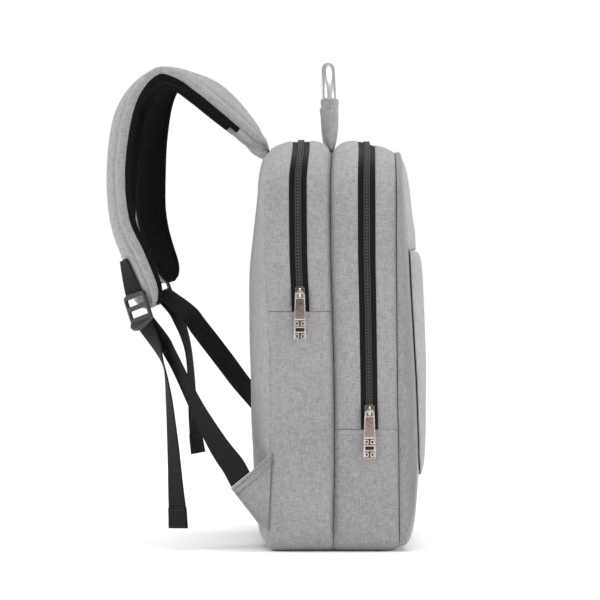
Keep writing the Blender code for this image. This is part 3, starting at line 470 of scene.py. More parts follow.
# Seams where the gusset meets the back and the front. up is a share of BAG_HEIGHT, back and front are
# shares of BASE_DEPTH.
SeamRow = namedtuple("SeamRow", "up back front")
SEAM_LINES = table(
    SeamRow,
    (0.00, 0.517, -0.483), (0.06, 0.515, -0.476), (0.23, 0.493, -0.472), (0.37, 0.493, -0.463),
    (0.59, 0.517, -0.457), (0.73, 0.538, -0.4535), (0.89, 0.543, -0.4535), (0.98, 0.508, -0.4535),
)

# How far each line round the gusset is pinched in. across runs from the back seam to the front seam,
# and top, side and base are shares of SEAM_PINCH there.
PinchRow = namedtuple("PinchRow", "across top side base")
PINCH = table(
    PinchRow,
    (0.000, 0.95, 0.55, 0.33), (0.040, 0.60, 0.28, 0.00), (0.100, 0.30, 0.10, 0.00),
    (0.189, 0.05, 0.00, 0.00), (0.320, 0.02, 0.00, 0.00), (0.400, 0.14, 0.06, 0.00),
    (0.455, 0.48, 0.24, 0.00), (0.500, 1.05, 0.75, 0.00), (0.545, 0.48, 0.24, 0.00),
    (0.620, 0.08, 0.03, 0.00), (0.709, 0.02, 0.00, 0.00), (0.840, 0.40, 0.10, 0.00),
    (0.915, 0.60, 0.25, 0.02), (1.000, 1.10, 0.60, 0.35),
)
REAR_ZIP_BACK = 3
REAR_ZIP_FRONT = 4
CENTRE_SEAM = 7
FRONT_ZIP_BACK = 10
FRONT_ZIP_FRONT = 11

# Lines between the front seam and the face. forward and inward are shares of the way, puff and crown are
# shares of BORDER_PUFF at the sides and on top.
BorderRow = namedtuple("BorderRow", "forward inward puff crown")
BORDER = table(
    BorderRow,
    (0.45, 0.07, 1.0, 0.20), (0.80, 0.38, 0.8, 0.25),
)

# The front by height. up is a share of BAG_HEIGHT, and edge, panel and pocket are shares of
# FRONT_BULGE in front of the front seam: at the face's edge, and at its middle.
FaceRow = namedtuple("FaceRow", "up edge panel pocket")
FACE = table(
    FaceRow,
    (0.182, 0.590, 0.590, 0.600), (0.200, 0.570, 0.600, 0.690), (0.240, 0.550, 0.610, 0.750),
    (0.363, 0.535, 0.570, 0.800), (0.530, 0.450, 0.500, 0.810), (0.650, 0.380, 0.460, 0.775),
    (0.700, 0.360, 0.450, 0.730), (0.730, 0.335, 0.480, 0.670), (0.750, 0.315, 0.690, 0.620),
    (0.825, 0.260, 0.570, 0.590), (0.917, 0.200, 0.420, 0.590), (0.945, 0.195, 0.330, 0.590),
    (0.9585, 0.190, 0.190, 0.590),
)

# The back panel by height. up is a share of BAG_HEIGHT, middle a share of BACK_BULGE.
BackRow = namedtuple("BackRow", "up middle")
BACK = table(
    BackRow,
    (0.009, 0.00), (0.031, 0.40), (0.110, 0.68), (0.220, 0.88), (0.360, 1.00), (0.490, 0.985),
    (0.590, 0.92), (0.684, 0.80), (0.733, 0.68), (0.800, 0.51), (0.865, 0.37), (0.950, 0.26),
    (0.9737, 0.00),
)

# Half of the handle's centre line. across is a share of half HANDLE_SPAN, up a share of HANDLE_RISE
# above the centre seam.
ArchRow = namedtuple("ArchRow", "across up")
ARCH = table(
    ArchRow,
    (1.00, 0.00), (0.99, 0.16), (0.96, 0.34), (0.90, 0.54), (0.80, 0.72), (0.62, 0.88), (0.34, 0.975),
    (0.00, 1.00),
)

# Handle sleeve, from the seam up. up is a share of its height, wide and deep are shares of
# SLEEVE_RADIUS along X and Y.
SleeveRow = namedtuple("SleeveRow", "up wide deep")
SLEEVE = table(
    SleeveRow,
    (0.03, 1.62, 0.13), (0.08, 1.58, 0.32), (0.16, 1.45, 0.52), (0.28, 1.24, 0.70), (0.40, 1.10, 0.82),
    (0.56, 1.01, 0.93), (0.78, 1.00, 0.98), (1.00, 1.00, 1.00),
)
SLEEVE_BORE = 5

# Strap pads from the root down. out is a share of STRAP_REACH behind the top of the back seam, up a
# share of BAG_HEIGHT above it and side a share of half BAG_WIDTH. roll turns the inner face to -X, in
# degrees. wide, arch and thick are shares of STRAP_WIDTH, of STRAP_CURL and STRAP_PUFF, and of the
# padding.
PadRow = namedtuple("PadRow", "out up side roll wide arch thick")
LEFT_PAD = table(
    PadRow,
    (0.007, 0.003, 0.413, 0, 0.80, 0.00, 0.20), (0.052, 0.014, 0.413, 0, 0.82, 0.25, 0.62),
    (0.130, 0.029, 0.440, 3, 0.88, 0.55, 0.80), (0.217, 0.054, 0.480, 3, 0.95, 0.80, 0.95),
    (0.389, 0.102, 0.533, 4, 1.00, 1.00, 1.00), (0.519, 0.138, 0.573, 4, 1.00, 0.90, 1.00),
    (0.666, 0.173, 0.613, 3, 1.00, 0.45, 1.00), (0.779, 0.181, 0.627, 0, 1.00, 0.12, 1.00),
    (0.888, 0.137, 0.640, 2, 1.00, 0.60, 1.00), (0.955, 0.066, 0.653, 3, 1.00, 1.00, 1.00),
    (0.996, -0.057, 0.667, 3, 1.00, 1.00, 1.00), (0.988, -0.175, 0.680, -4, 1.00, 0.80, 1.00),
    (0.928, -0.263, 0.693, -20, 0.92, 0.45, 1.00), (0.853, -0.349, 0.707, -30, 0.84, 0.28, 0.85),
    (0.817, -0.384, 0.710, -30, 0.80, 0.20, 0.75),
)
RIGHT_PAD = table(
    PadRow,
    (0.007, 0.003, 0.413, 0, 0.80, 0.00, 0.20), (0.052, 0.014, 0.413, 0, 0.82, 0.25, 0.62),
    (0.126, 0.034, 0.440, 0, 0.88, 0.55, 0.80), (0.210, 0.068, 0.480, 0, 0.95, 0.80, 0.95),
    (0.375, 0.126, 0.533, 0, 1.00, 1.00, 1.00), (0.510, 0.169, 0.573, 0, 1.00, 0.90, 1.00),
    (0.660, 0.203, 0.613, 3, 1.00, 0.45, 1.00), (0.776, 0.206, 0.640, 10, 1.00, 0.20, 1.00),
    (0.864, 0.154, 0.660, 18, 1.00, 0.50, 1.00), (0.918, 0.061, 0.680, 23, 1.00, 0.70, 1.00),
    (0.937, -0.039, 0.700, 25, 1.00, 0.70, 1.00), (0.937, -0.120, 0.710, 25, 1.00, 0.70, 1.00),
    (0.908, -0.181, 0.720, 25, 0.95, 0.60, 1.00), (0.865, -0.228, 0.725, 24, 0.90, 0.45, 1.00),
    (0.805, -0.281, 0.730, 24, 0.84, 0.30, 0.85), (0.770, -0.319, 0.730, 24, 0.80, 0.20, 0.75),
)

# Webbing routes, with the same shares. roll turns the webbing as it turns a pad.
WebRow = namedtuple("WebRow", "out up side roll")
LEFT_LOWER = table(
    WebRow,
    (0.738, -0.471, 0.720, -37), (0.662, -0.517, 0.760, -32), (0.579, -0.575, 0.807, -33),
    (0.479, -0.642, 0.867, -42), (0.347, -0.718, 0.933, -62), (0.245, -0.766, 0.967, -80),
)
LEFT_TAIL = table(
    WebRow,
    (0.793, -0.477, 0.722, -26), (0.750, -0.517, 0.720, -6), (0.727, -0.547, 0.720, -6),
    (0.705, -0.604, 0.724, -16), (0.689, -0.663, 0.728, -23), (0.675, -0.722, 0.733, -30),
    (0.663, -0.780, 0.740, -36), (0.652, -0.839, 0.746, -44), (0.643, -0.878, 0.750, -50),
    (0.637, -0.923, 0.753, -53),
)
RIGHT_LOWER = table(
    WebRow,
    (0.632, -0.402, 0.740, 54), (0.492, -0.466, 0.800, 60), (0.353, -0.531, 0.900, 60),
    (0.253, -0.579, 0.973, 58), (0.160, -0.621, 1.047, 50), (0.080, -0.662, 1.130, 38),
    (0.030, -0.704, 1.205, 18), (0.018, -0.745, 1.240, 4),
)
RIGHT_TAIL = table(
    WebRow,
    (0.738, -0.392, 0.765, 34), (0.680, -0.443, 0.790, 22), (0.636, -0.498, 0.785, 14),
    (0.615, -0.558, 0.770, 14), (0.603, -0.628, 0.755, 18), (0.589, -0.685, 0.745, 24),
    (0.573, -0.732, 0.738, 30), (0.557, -0.771, 0.735, 34),
)

# Wing outline from the top of the seam. reach is a share of WING_REACH, up a share of BAG_HEIGHT.
WingRow = namedtuple("WingRow", "reach up")
WING = table(
    WingRow,
    (0.00, 0.238), (0.49, 0.195), (1.00, 0.155), (0.25, 0.070), (0.00, 0.053),
)
HEM_TOP = 1
HEM_TIP = 2
LEFT_WING_SWING = 7
RIGHT_WING_SWING = 85
X = Vector((1, 0, 0))
Y = Vector((0, 1, 0))
Z = Vector((0, 0, 1))
Frame = namedtuple("Frame", "centre side out row")
print("tables:", len(PINCH), "lines round the gusset")


# %% Smooth lookups
def value_at(table, column, at):
    """One column of a table at places between its rows, on a smooth curve that never overshoots."""
    rows = np.array([tuple(row) for row in table], float)
    keys = rows[:, 0]
    values = rows[:, table[0]._fields.index(column)]
    slopes = np.diff(values) / np.diff(keys)
    product = slopes[:-1] * slopes[1:]
    total = slopes[:-1] + slopes[1:]
    inner = np.where(product > 0, 2 * product / np.where(total == 0, 1, total), 0.0)
    tangents = np.concatenate((slopes[:1], inner, slopes[-1:]))
    at = np.clip(at, keys[0], keys[-1])
    i = np.clip(np.searchsorted(keys, at, side="right") - 1, 0, len(keys) - 2)
    span = keys[i + 1] - keys[i]
    t = (at - keys[i]) / span
    near = (2 * t**3 - 3 * t**2 + 1) * values[i] + (t**3 - 2 * t**2 + t) * span * tangents[i]
    far = (3 * t**2 - 2 * t**3) * values[i + 1] + (t**3 - t**2) * span * tangents[i + 1]
    return near + far


def seam_y(z, column):
    return BASE_DEPTH * value_at(SEAM_LINES, column, np.asarray(z) / BAG_HEIGHT)


def face_y(z, column):
    return seam_y(z, "front") - FRONT_BULGE * value_at(FACE, column, np.asarray(z) / BAG_HEIGHT)


# %% [markdown]
# ## From a grid of points to a piece of cloth
#
# A cut piece of cloth could be a flat mesh that is simulated. The photo shows firm padded walls that keep
# their shape, so each wall is instead a fine grid on the bag's surface, whose edges roll in to the seam,
# with small puckers along the stitching and slow soft dents over the field. The grid is then given its
# thickness, inwards, as a closed wall.

# %% Stations, grids and walls
EDGE_STEPS = (0.0, 0.0003, 0.0008, 0.0015, 0.0024, 0.0036, 0.0052)


def stations(length, step):
    """Places along a length: close together at both seams, then a step apart."""
    edge = np.array(EDGE_STEPS) * min(1.0, length / 4 / EDGE_STEPS[-1])
    count = max(2, round((length - 2 * edge[-1]) / step)) + 1
    middle = np.linspace(edge[-1], length - edge[-1], count)[1:-1]
    return np.concatenate((edge, middle, length - edge[::-1]))


def new_piece(name, points, faces, corner_uvs, material):
    """A closed mesh whose faces look outwards."""
    points = np.asarray(points, float)
    cells = np.array([face for face in faces if len(face) == 4])
    a, b, c, d = (points[cells[:, k]] for k in range(4))
    volume = np.sum(a * (np.cross(b, c) + np.cross(c, d)))
    mesh = bpy.data.meshes.new(name)
    mesh.from_pydata(points.tolist(), [], [list(map(int, f)) for f in faces])
    layer = mesh.uv_layers.new(name="cloth")
    layer.data.foreach_set("uv", np.asarray(corner_uvs, np.float32).ravel())
    mesh.materials.append(material)
    mesh.polygons.foreach_set("use_smooth", np.ones(len(faces), bool))
    if volume < 0:
        mesh.flip_normals()
    return add_object(name, mesh)


def grid_cells(rows, columns):
    r = np.arange(rows - 1)[:, None]
    c = np.arange(columns - 1)[None, :]
    a = r * columns + c
    return np.stack((a, a + 1, a + 1 + columns, a + columns), -1).reshape(-1, 4)


def grid_normals(points, facing):
    """Normals of a grid, on the side that facing, a point or grid of points, looks towards."""
    normal = np.cross(np.gradient(points, axis=1), np.gradient(points, axis=0))
    length = np.linalg.norm(normal, axis=-1, keepdims=True)
    normal = normal / np.maximum(length, 1e-12)
    return normal if np.sum(normal * facing) > 0 else -normal


def grid_rim(rows, columns):
    index = np.arange(rows * columns).reshape(rows, columns)
    return np.concatenate((index[0, :-1], index[:-1, -1], index[-1, :0:-1], index[:0:-1, 0]))


def rim_distance(points, closed=False):
    """How far each point of a grid is from its edge. A closed grid has only a first and a last row."""
    rows, columns = points.shape[:2]
    flat = points.reshape(-1, 3)
    rim = np.concatenate((points[0], points[-1])) if closed else flat[grid_rim(rows, columns)]
    tree = KDTree(len(rim))
    for i, place in enumerate(rim):
        tree.insert(place, i)
    tree.balance()
    return np.array([tree.find(p)[2] for p in flat]).reshape(rows, columns)


def soft_noise(points, size, seed):
    """Slow smooth noise between -1 and 1 at each point."""
    flat = points.reshape(-1, 3) / size + seed * 7.77
    return np.array([noise.noise(Vector(p)) for p in flat]).reshape(points.shape[:-1])


ROLL = 0.0024
ROLL_WIDTH = 0.0042
PUCKER_SIZE = 0.011
PUCKER_REACH = 0.009
DENT_SIZE = 0.060
DENT_START = 0.012


def sewn(points, facing, seed, roll=ROLL, puckers=0.0005, dents=0.0009, width=ROLL_WIDTH, closed=False):
    """A grid with its edges rolled in, puckers beside them and soft dents in its field. Roll, puckers
    and dents are depths in metres, and width is how wide the roll is."""
    normal = grid_normals(points, facing)
    distance = rim_distance(points, closed)
    inside = np.clip(1 - distance / width, 0, 1)
    depth = roll * (1 - np.sqrt(1 - inside**2))
    near = np.exp(-distance / PUCKER_REACH)
    field = 1 - np.exp(-distance / DENT_START)
    ripple = soft_noise(points, PUCKER_SIZE, seed) * puckers * near * (1 - inside**2)
    slow = soft_noise(points, DENT_SIZE, seed + 3) * dents * field
    return points + normal * (ripple + slow - depth)[..., None]


def wall(name, points, uv, facing, thickness, material):
    """A grid as a closed wall: its outer face, an inner face a thickness below, and the rim."""
    rows, columns = points.shape[:2]
    inner = points - grid_normals(points, facing) * thickness
    count = rows * columns
    cells = grid_cells(rows, columns)
    rim = grid_rim(rows, columns)
    after = np.roll(rim, -1)
    sides = np.stack((after, rim, rim + count, after + count), -1)
    faces = np.concatenate((cells, cells[:, ::-1] + count, sides))
    uvs = np.concatenate((uv.reshape(-1, 2), uv.reshape(-1, 2)))
    return new_piece(
        name, np.concatenate((points.reshape(-1, 3), inner.reshape(-1, 3))), faces.tolist(), uvs[faces],
        material,
    )


def lofted(name, sections, material, uvs=None):
    """A closed solid through equal loops of points, with both ends capped."""
    sections = np.asarray([[tuple(p) for p in s] for s in sections], float)
    rows, count = sections.shape[:2]
    if uvs is None:
        around = np.zeros((rows, count + 1))
        closed = np.concatenate((sections, sections[:, :1]), axis=1)
        around[:, 1:] = np.cumsum(np.linalg.norm(np.diff(closed, axis=1), axis=2), axis=1)
        steps = np.linalg.norm(np.diff(sections.mean(axis=1), axis=0), axis=1)
        along = np.concatenate(([0.0], np.cumsum(steps)))
        uvs = np.stack((around, np.repeat(along[:, None], count + 1, 1)), -1)
    faces = []
    corner_uvs = []
    for r in range(rows - 1):
        for c in range(count):
            d = (c + 1) % count
            faces.append([r * count + c, r * count + d, (r + 1) * count + d, (r + 1) * count + c])
            corner_uvs += [uvs[r, c], uvs[r, c + 1], uvs[r + 1, c + 1], uvs[r + 1, c]]
    for start, order in ((0, -1), ((rows - 1) * count, 1)):
        faces.append([start + i for i in range(count)][::order])
        row = 0 if start == 0 else rows - 1
        corner_uvs += [uvs[row, i] for i in range(count)][::order]
    return new_piece(name, sections.reshape(-1, 3), faces, corner_uvs, material)


def finish_piece(obj, node, body="bag"):
    """The piece takes the place of its solid, and rides where the solid rides."""
    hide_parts(*([node] if isinstance(node, str) else node))
    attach(obj, body)


def add_detail(obj, slot, body="bag"):
    """A small piece that goes with a solid's own piece, and replaces no solid itself."""
    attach(obj, body)


# %% [markdown]
# ## The body's walls
#
# The gusset runs round the bag between the back and the front. It is cut into strips by the two zips and
# the deep seam between the compartments, and each strip ends at a seam across the side where its zip ends.
# Rings of sample points round the bag carry the strips, and the pinch table draws the rings in.


# %% Rings round the bag
def ring_samples(sizes, mark, step=0.0032, arc_steps=22):
    """Right half of a rounded rectangle from the middle of its base to the middle of its top.

    sizes is half width, low, high, low radius and high radius. Columns are x, z, out x and out z. The
    second result is the index of the mark's height.
    """
    half, low, high, low_radius, high_radius = sizes
    flat_low = half - low_radius
    flat_high = half - high_radius
    base = np.linspace(0, flat_low, round(flat_low / step) + 1)[:-1]
    rows = [(x, low, 0, -1) for x in base]
    for k in range(arc_steps // 2):
        a = math.radians(-90 + 90 * k / (arc_steps // 2))
        rows.append((flat_low + low_radius * math.cos(a), low + low_radius * (1 + math.sin(a)),
                     math.cos(a), math.sin(a)))
    lower = low + low_radius + stations(mark - low - low_radius, step)
    upper = mark + stations(high - high_radius - mark, step)
    rows += [(half, z, 1, 0) for z in lower[:-1]]
    index = len(rows)
    rows += [(half, z, 1, 0) for z in upper[:-1]]
    for k in range(arc_steps + 1):
        a = math.radians(90 * k / arc_steps)
        rows.append((flat_high + high_radius * math.cos(a), high - high_radius * (1 - math.sin(a)),
                     math.cos(a), math.sin(a)))
    top = np.linspace(flat_high, 0, round(flat_high / step) + 1)[1:]
    rows += [(x, high, 0, 1) for x in top]
    return np.array(rows), index


def mirrored(samples):
    return samples * np.array([-1, 1, -1, 1])


def outward(samples, forward=0.0):
    """The way out of the bag at each sample, tipped forward where the piece faces the front."""
    return np.stack((samples[:, 2], samples[:, 2] * 0 + forward, samples[:, 3]), -1)


def gusset_points(samples, across):
    """Points of the gusset's outer surface: samples round it, times places across it."""
    across = np.asarray(across, float)[:, None]
    x, z, out_x, out_z = samples.T
    side = value_at(PINCH, "side", across)
    top = value_at(PINCH, "top", across)
    base = value_at(PINCH, "base", across)
    far = np.where(out_z > 0, top, base)
    inset = SEAM_PINCH * (side + (far - side) * np.abs(out_z))
    height = z - inset * out_z
    back = seam_y(height, "back")
    front = seam_y(height, "front")
    return np.stack((x - inset * out_x, back + (front - back) * across, height), -1)


BODY = (BAG_WIDTH / 2, 0.0, BAG_HEIGHT, BASE_RADIUS, TOP_RADIUS)
FACE_SIZES = (FACE_WIDTH / 2, FACE_LOW, FACE_HIGH, FACE_LOW_RADIUS, FACE_HIGH_RADIUS)


def grid_uv(points):
    """UVs in metres: along the middle row of a grid, and across it at its own mean spacing."""
    middle = points[points.shape[0] // 2]
    along = np.concatenate(([0.0], np.cumsum(np.linalg.norm(np.diff(middle, axis=0), axis=1))))
    steps = np.linalg.norm(np.diff(points, axis=0), axis=2).mean(axis=1)
    across = np.concatenate(([0.0], np.cumsum(steps)))
    return np.stack(np.broadcast_arrays(along[None, :], across[:, None]), -1)


def gusset_run(end, upper):
    """Samples along a strip: over the top from seam to seam, or down under the base."""
    half, index = ring_samples(BODY, end)
    part = half[index:] if upper else half[: index + 1][::-1]
    return np.concatenate((part, mirrored(part)[::-1][1:]))


# %% The strips of the gusset
Strip = namedtuple("Strip", "name end upper start stop step roll")
STRIPS = table(
    Strip,
    ("rear_back_strip", REAR_ZIP_END, True, 0.0, PINCH[REAR_ZIP_BACK].across, 0.0026, 0.0020),
    ("rear_middle_strip", REAR_ZIP_END, True, PINCH[REAR_ZIP_FRONT].across, 0.5, 0.0026, 0.0020),
    ("rear_lower_gusset", REAR_ZIP_END, False, 0.0, 0.5, 0.0034, 0.0016),
    ("front_middle_strip", FRONT_ZIP_END, True, 0.5, PINCH[FRONT_ZIP_BACK].across, 0.0026, 0.0020),
    ("front_edge_strip", FRONT_ZIP_END, True, PINCH[FRONT_ZIP_FRONT].across, 1.0, 0.0026, 0.0009),
    ("front_lower_gusset", FRONT_ZIP_END, False, 0.5, 1.0, 0.0034, 0.0009),
)
CLOTH_WALL = 0.003
BACK_WALL = 0.004
FLAP_WALL = 0.0022
for seed, row in enumerate(STRIPS, 1):
    samples = gusset_run(row.end, row.upper)
    across = row.start + stations((row.stop - row.start) * BASE_DEPTH, row.step) / BASE_DEPTH
    points = gusset_points(samples, across)
    facing = outward(samples)
    shaped = sewn(points, facing, seed, row.roll)
    shaped[..., 2] = np.maximum(shaped[..., 2], 0.0)
    obj = wall(row.name + "_cloth", shaped, grid_uv(points), facing, CLOTH_WALL, CLOTH)
    finish_piece(obj, row.name)
    print(row.name, "faces", len(obj.data.polygons))

# %% The front border, between the gusset's front seam and the face
body_half, _ = ring_samples(BODY, FRONT_ZIP_END)


def matched_face(samples):
    """The face's outline points that belong to samples of the body's outline."""
    half, low, high, low_radius, high_radius = FACE_SIZES
    face_start = low + low_radius
    face_stop = high - high_radius
    body_start = BODY[1] + BODY[3]
    body_stop = BODY[2] - BODY[4]
    x, z, out_x, out_z = samples.T
    level = face_start + (z - body_start) / (body_stop - body_start) * (face_stop - face_start)
    corner_z = np.where(out_z < 0, low + low_radius * (1 + out_z), high - high_radius * (1 - out_z))
    side_z = np.where(out_z == 0, level, corner_z)
    flat = np.abs(out_x) < 1e-9
    radius = np.where(out_z < 0, low_radius, high_radius)
    body_radius = np.where(out_z < 0, BODY[3], BODY[4])
    corner_x = np.sign(out_x) * (half - radius) + radius * out_x
    flat_x = x * (half - radius) / (BODY[0] - body_radius)
    return np.stack((np.where(flat, flat_x, corner_x), side_z, out_x, out_z), -1)


loop = np.concatenate((body_half, mirrored(body_half)[::-1][1:]))
seam = gusset_points(loop, [1.0])[0]
face_samples = matched_face(loop)
face = np.stack((face_samples[:, 0], face_y(face_samples[:, 1], "edge"), face_samples[:, 1]), -1)
rings = [seam]
for row in BORDER:
    ring = seam + (face - seam) * row.inward
    ring[:, 1] = seam[:, 1] + (face[:, 1] - seam[:, 1]) * row.forward
    ring[:, 0] += BORDER_PUFF * row.puff * loop[:, 2]
    ring[:, 2] += BORDER_PUFF * row.crown * np.maximum(loop[:, 3], 0)
    rings.append(ring)
rings.append(face)


def through(points, steps):
    """Places on a Catmull-Rom curve through points, with steps spans from each to the next."""
    ends = [2 * points[0] - points[1], *points, 2 * points[-1] - points[-2]]
    path = []
    for a, b, c, d in zip(ends, ends[1:], ends[2:], ends[3:]):
        for k in range(steps):
            t = k / steps
            path.append(
                0.5 * (2 * b + (c - a) * t + (2 * a - 5 * b + 4 * c - d) * t**2
                       + (3 * b - a - 3 * c + d) * t**3)
            )
    path.append(points[-1])
    return path


fine = np.array(through(rings, 12))
lengths = np.concatenate(([0.0], np.cumsum(np.linalg.norm(np.diff(fine, axis=0), axis=2).mean(axis=1))))
wanted = stations(lengths[-1], 0.0028)
border = np.array(
    [[np.interp(wanted, lengths, fine[:, i, k]) for k in range(3)] for i in range(fine.shape[1])]
).transpose(2, 0, 1)
facing = outward(loop, -0.8)
shaped = sewn(border, facing, 11, 0.0005, closed=True)
shaped[:, 0] = (shaped[:, 0] + shaped[:, -1]) / 2
shaped[:, -1] = shaped[:, 0]
obj = wall("front_border_cloth", shaped, grid_uv(border), facing, CLOTH_WALL, CLOTH)
finish_piece(obj, "front_border")
print("front border", [round(v, 4) for v in (border[..., 1].min(), border[..., 1].max())])

# %% [markdown]
# ## The three panels
#
# The back panel, the front wall and the pocket are domes on a rounded rectangle. A dome could come from
# inflating a flat cut. The bulge tables are read off the photo's outline, so the panels follow them.


# %% Panels
def panel_grid(ring, bulge, step=0.0034):
    """A grid over a ring given as its right half: rows of points, and how far they stand out."""
    rows = ring[np.concatenate(([True], np.diff(ring[:, 2]) > 1e-6))]
    first = np.argmax(ring[:, 2] > ring[0, 2] + 1e-7) - 1
    rows = np.concatenate((ring[first][None], rows[1:]))
    widest = rows[:, 0].max()
    shares = stations(2 * widest, step) / widest - 1
    x = rows[:, :1] * shares[None, :]
    z = np.repeat(rows[:, 2:], len(shares), 1)
    y = rows[:, 1:2] + bulge(shares[None, :], z)
    return np.stack((x, y, z), -1)


def panel_uv(points):
    return points[..., (0, 2)]


back_ring = gusset_points(body_half, [0.0])[0]
points = panel_grid(
    back_ring,
    lambda share, z: BACK_BULGE * value_at(BACK, "middle", z / BAG_HEIGHT) * (1 - np.abs(share) ** 5),
)
shaped = sewn(points, (0, 1, 0), 21)
obj = wall("back_panel_cloth", shaped, panel_uv(points), (0, 1, 0), BACK_WALL, CLOTH)
finish_piece(obj, "back_panel")

face_half, _ = ring_samples(FACE_SIZES, POCKET_MOUTH)
face_ring = np.stack((face_half[:, 0], face_y(face_half[:, 1], "edge"), face_half[:, 1]), -1)
PANEL_FOLD = 0.322
PANEL_SAG = 0.0075
SAG_REACH = 0.010


def panel_bulge(share, z):
    """The upper panel sags a little over the pocket's mouth."""
    sagged = z + PANEL_SAG * np.exp(-(((z - PANEL_FOLD) / SAG_REACH) ** 2))
    return (face_y(sagged, "panel") - face_y(z, "edge")) * (1 - np.abs(share) ** 3)


points = panel_grid(face_ring, panel_bulge)
shaped = sewn(points, (0, -1, 0), 22, roll=0.0018)
obj = wall("front_panel_cloth", shaped, panel_uv(points), (0, -1, 0), CLOTH_WALL, CLOTH)
finish_piece(obj, "front_panel")

# %% The pocket
lift = POCKET_WALL + CLEAR
low_half = face_half[face_half[:, 1] < POCKET_MOUTH + 1e-6]
pocket_ring = np.stack((low_half[:, 0], face_y(low_half[:, 1], "edge") - lift, low_half[:, 1]), -1)
MOUTH_CURL = 0.0040
MOUTH_REACH = 0.014


def pocket_bulge(share, z):
    """The pocket's dome, whose mouth curls in towards the panel."""
    near = np.clip(1 - (POCKET_MOUTH - z) / MOUTH_REACH, 0, 1)
    curl = MOUTH_CURL * (1 - np.sqrt(1 - near**2))
    return (face_y(z, "pocket") - face_y(z, "edge") + curl) * (1 - share**4)


points = panel_grid(pocket_ring, pocket_bulge)
shaped = sewn(points, (0, -1, 0), 23, 0.0024, width=0.009)
obj = wall("front_pocket_cloth", shaped, panel_uv(points), (0, -1, 0), FLAP_WALL, CLOTH)
finish_piece(obj, "front_pocket")
print("pocket", [round(float(v), 3) for v in points.reshape(-1, 3).min(axis=0)])

# %% Zip tapes
Zip = namedtuple("Zip", "name end back front middle")
ZIPS = [
    Zip(name, end, PINCH[back].across, PINCH[front].across, (PINCH[back].across + PINCH[front].across) / 2)
    for name, end, back, front in (
        ("rear", REAR_ZIP_END, REAR_ZIP_BACK, REAR_ZIP_FRONT),
        ("front", FRONT_ZIP_END, FRONT_ZIP_BACK, FRONT_ZIP_FRONT),
    )
]
TAPE_TUCK = 0.012
TAPE_SINK = 0.0013
TAPE_FILM = 0.0009
TAPE_LINES = 15
for row in ZIPS:
    samples = gusset_run(row.end, True)
    across = np.linspace(row.back - TAPE_TUCK, row.front + TAPE_TUCK, TAPE_LINES)
    points = gusset_points(samples, across)
    facing = outward(samples)
    lowered = points - grid_normals(points, facing) * TAPE_SINK
    obj = wall(row.name + "_zipper_tape_film", lowered, grid_uv(points), facing, TAPE_FILM, TAPE_FINISH)
    finish_piece(obj, row.name + "_zipper_tape")

# %% [markdown]
# ## What repeats: coil loops and stitches
#
# A zip's coil and a row of stitches are one small shape repeated along a line. Both come from Geometry
# Nodes: the line is a mesh of edges that carries the way outwards at each point, it is resampled at the
# pitch, a shape is set on each point and turned along the line, and the result is baked to a plain mesh.


# %% Trees that repeat a shape along lines
def named(nodes, kind, settings, output, **names):
    """A node whose sockets are all given by name, and one of its outputs by name."""
    nodes.node(kind, settings, **names)
    return Wire(nodes, nodes.last.outputs[output])


def turned(nodes):
    """The rotation that lays a shape's Y along the line and its Z outwards."""
    kind = "FunctionNodeAlignRotationToVector"
    out = named(
        nodes, "GeometryNodeInputNamedAttribute", {"data_type": "FLOAT_VECTOR"}, "Attribute", Name="out"
    )
    tangent = named(nodes, "GeometryNodeInputTangent", None, "Tangent")
    first = named(nodes, kind, {"axis": "Y"}, "Rotation", Vector=tangent)
    return named(nodes, kind, {"axis": "Z", "pivot_axis": "Y"}, "Rotation", Rotation=first, Vector=out)


def repeat_tree(title, sizes, make_shape):
    """A tree that sets a shape at every pitch along lines. make_shape gives the shape and its scale."""
    tree = bpy.data.node_groups.new(title, "GeometryNodeTree")
    tree.interface.new_socket("Geometry", in_out="OUTPUT", socket_type="NodeSocketGeometry")
    kinds = {"Lines": "Geometry", **{size: "Float" for size in ("Pitch", *sizes)}, "Material": "Material"}
    for name, kind in kinds.items():
        tree.interface.new_socket(name, in_out="INPUT", socket_type="NodeSocket" + kind)
    nodes = Nodes(tree)
    nodes.node("NodeGroupInput")
    wires = {s.name: Wire(nodes, s) for s in nodes.last.outputs if s.name}
    curve = named(nodes, "GeometryNodeMeshToCurve", None, "Curve", Mesh=wires["Lines"])
    points = named(
        nodes, "GeometryNodeResampleCurve", {"mode": "LENGTH"}, "Curve", Curve=curve, Length=wires["Pitch"]
    )
    shape, scale = make_shape(nodes, wires)
    made = named(
        nodes, "GeometryNodeInstanceOnPoints", None, "Instances",
        Points=points, Instance=shape, Rotation=turned(nodes), Scale=scale,
    )
    made = named(nodes, "GeometryNodeRealizeInstances", None, "Geometry", Geometry=made)
    made = named(nodes, "GeometryNodeSetShadeSmooth", None, "Geometry", Geometry=made)
    made = named(
        nodes, "GeometryNodeSetMaterial", None, "Geometry", Geometry=made, Material=wires["Material"]
    )
    nodes.node("NodeGroupOutput")
    tree.links.new(made.socket, nodes.last.inputs["Geometry"])
    return tree


def stitch_shape(nodes, wires):
    """A ball of thread, drawn out to a stitch."""
    ball = named(nodes, "GeometryNodeMeshUVSphere", None, "Mesh", Segments=6, Rings=5, Radius=0.5)
    return ball, nodes.node("ShaderNodeCombineXYZ", None, wires["Thread"], wires["Length"], wires["Thread"])


def loop_shape(nodes, wires):
    """A ring of nylon strand."""
    rings = [
        named(
            nodes, "GeometryNodeCurvePrimitiveCircle", {"mode": "RADIUS"}, "Curve",
            Resolution=count, Radius=wires[size],
        )
        for count, size in ((10, "Radius"), (5, "Strand"))
    ]
    loop = nodes.node("GeometryNodeCurveToMesh", None, *rings)
    return loop, nodes.node("ShaderNodeCombineXYZ", None, 1.0, 1.0, 1.0)


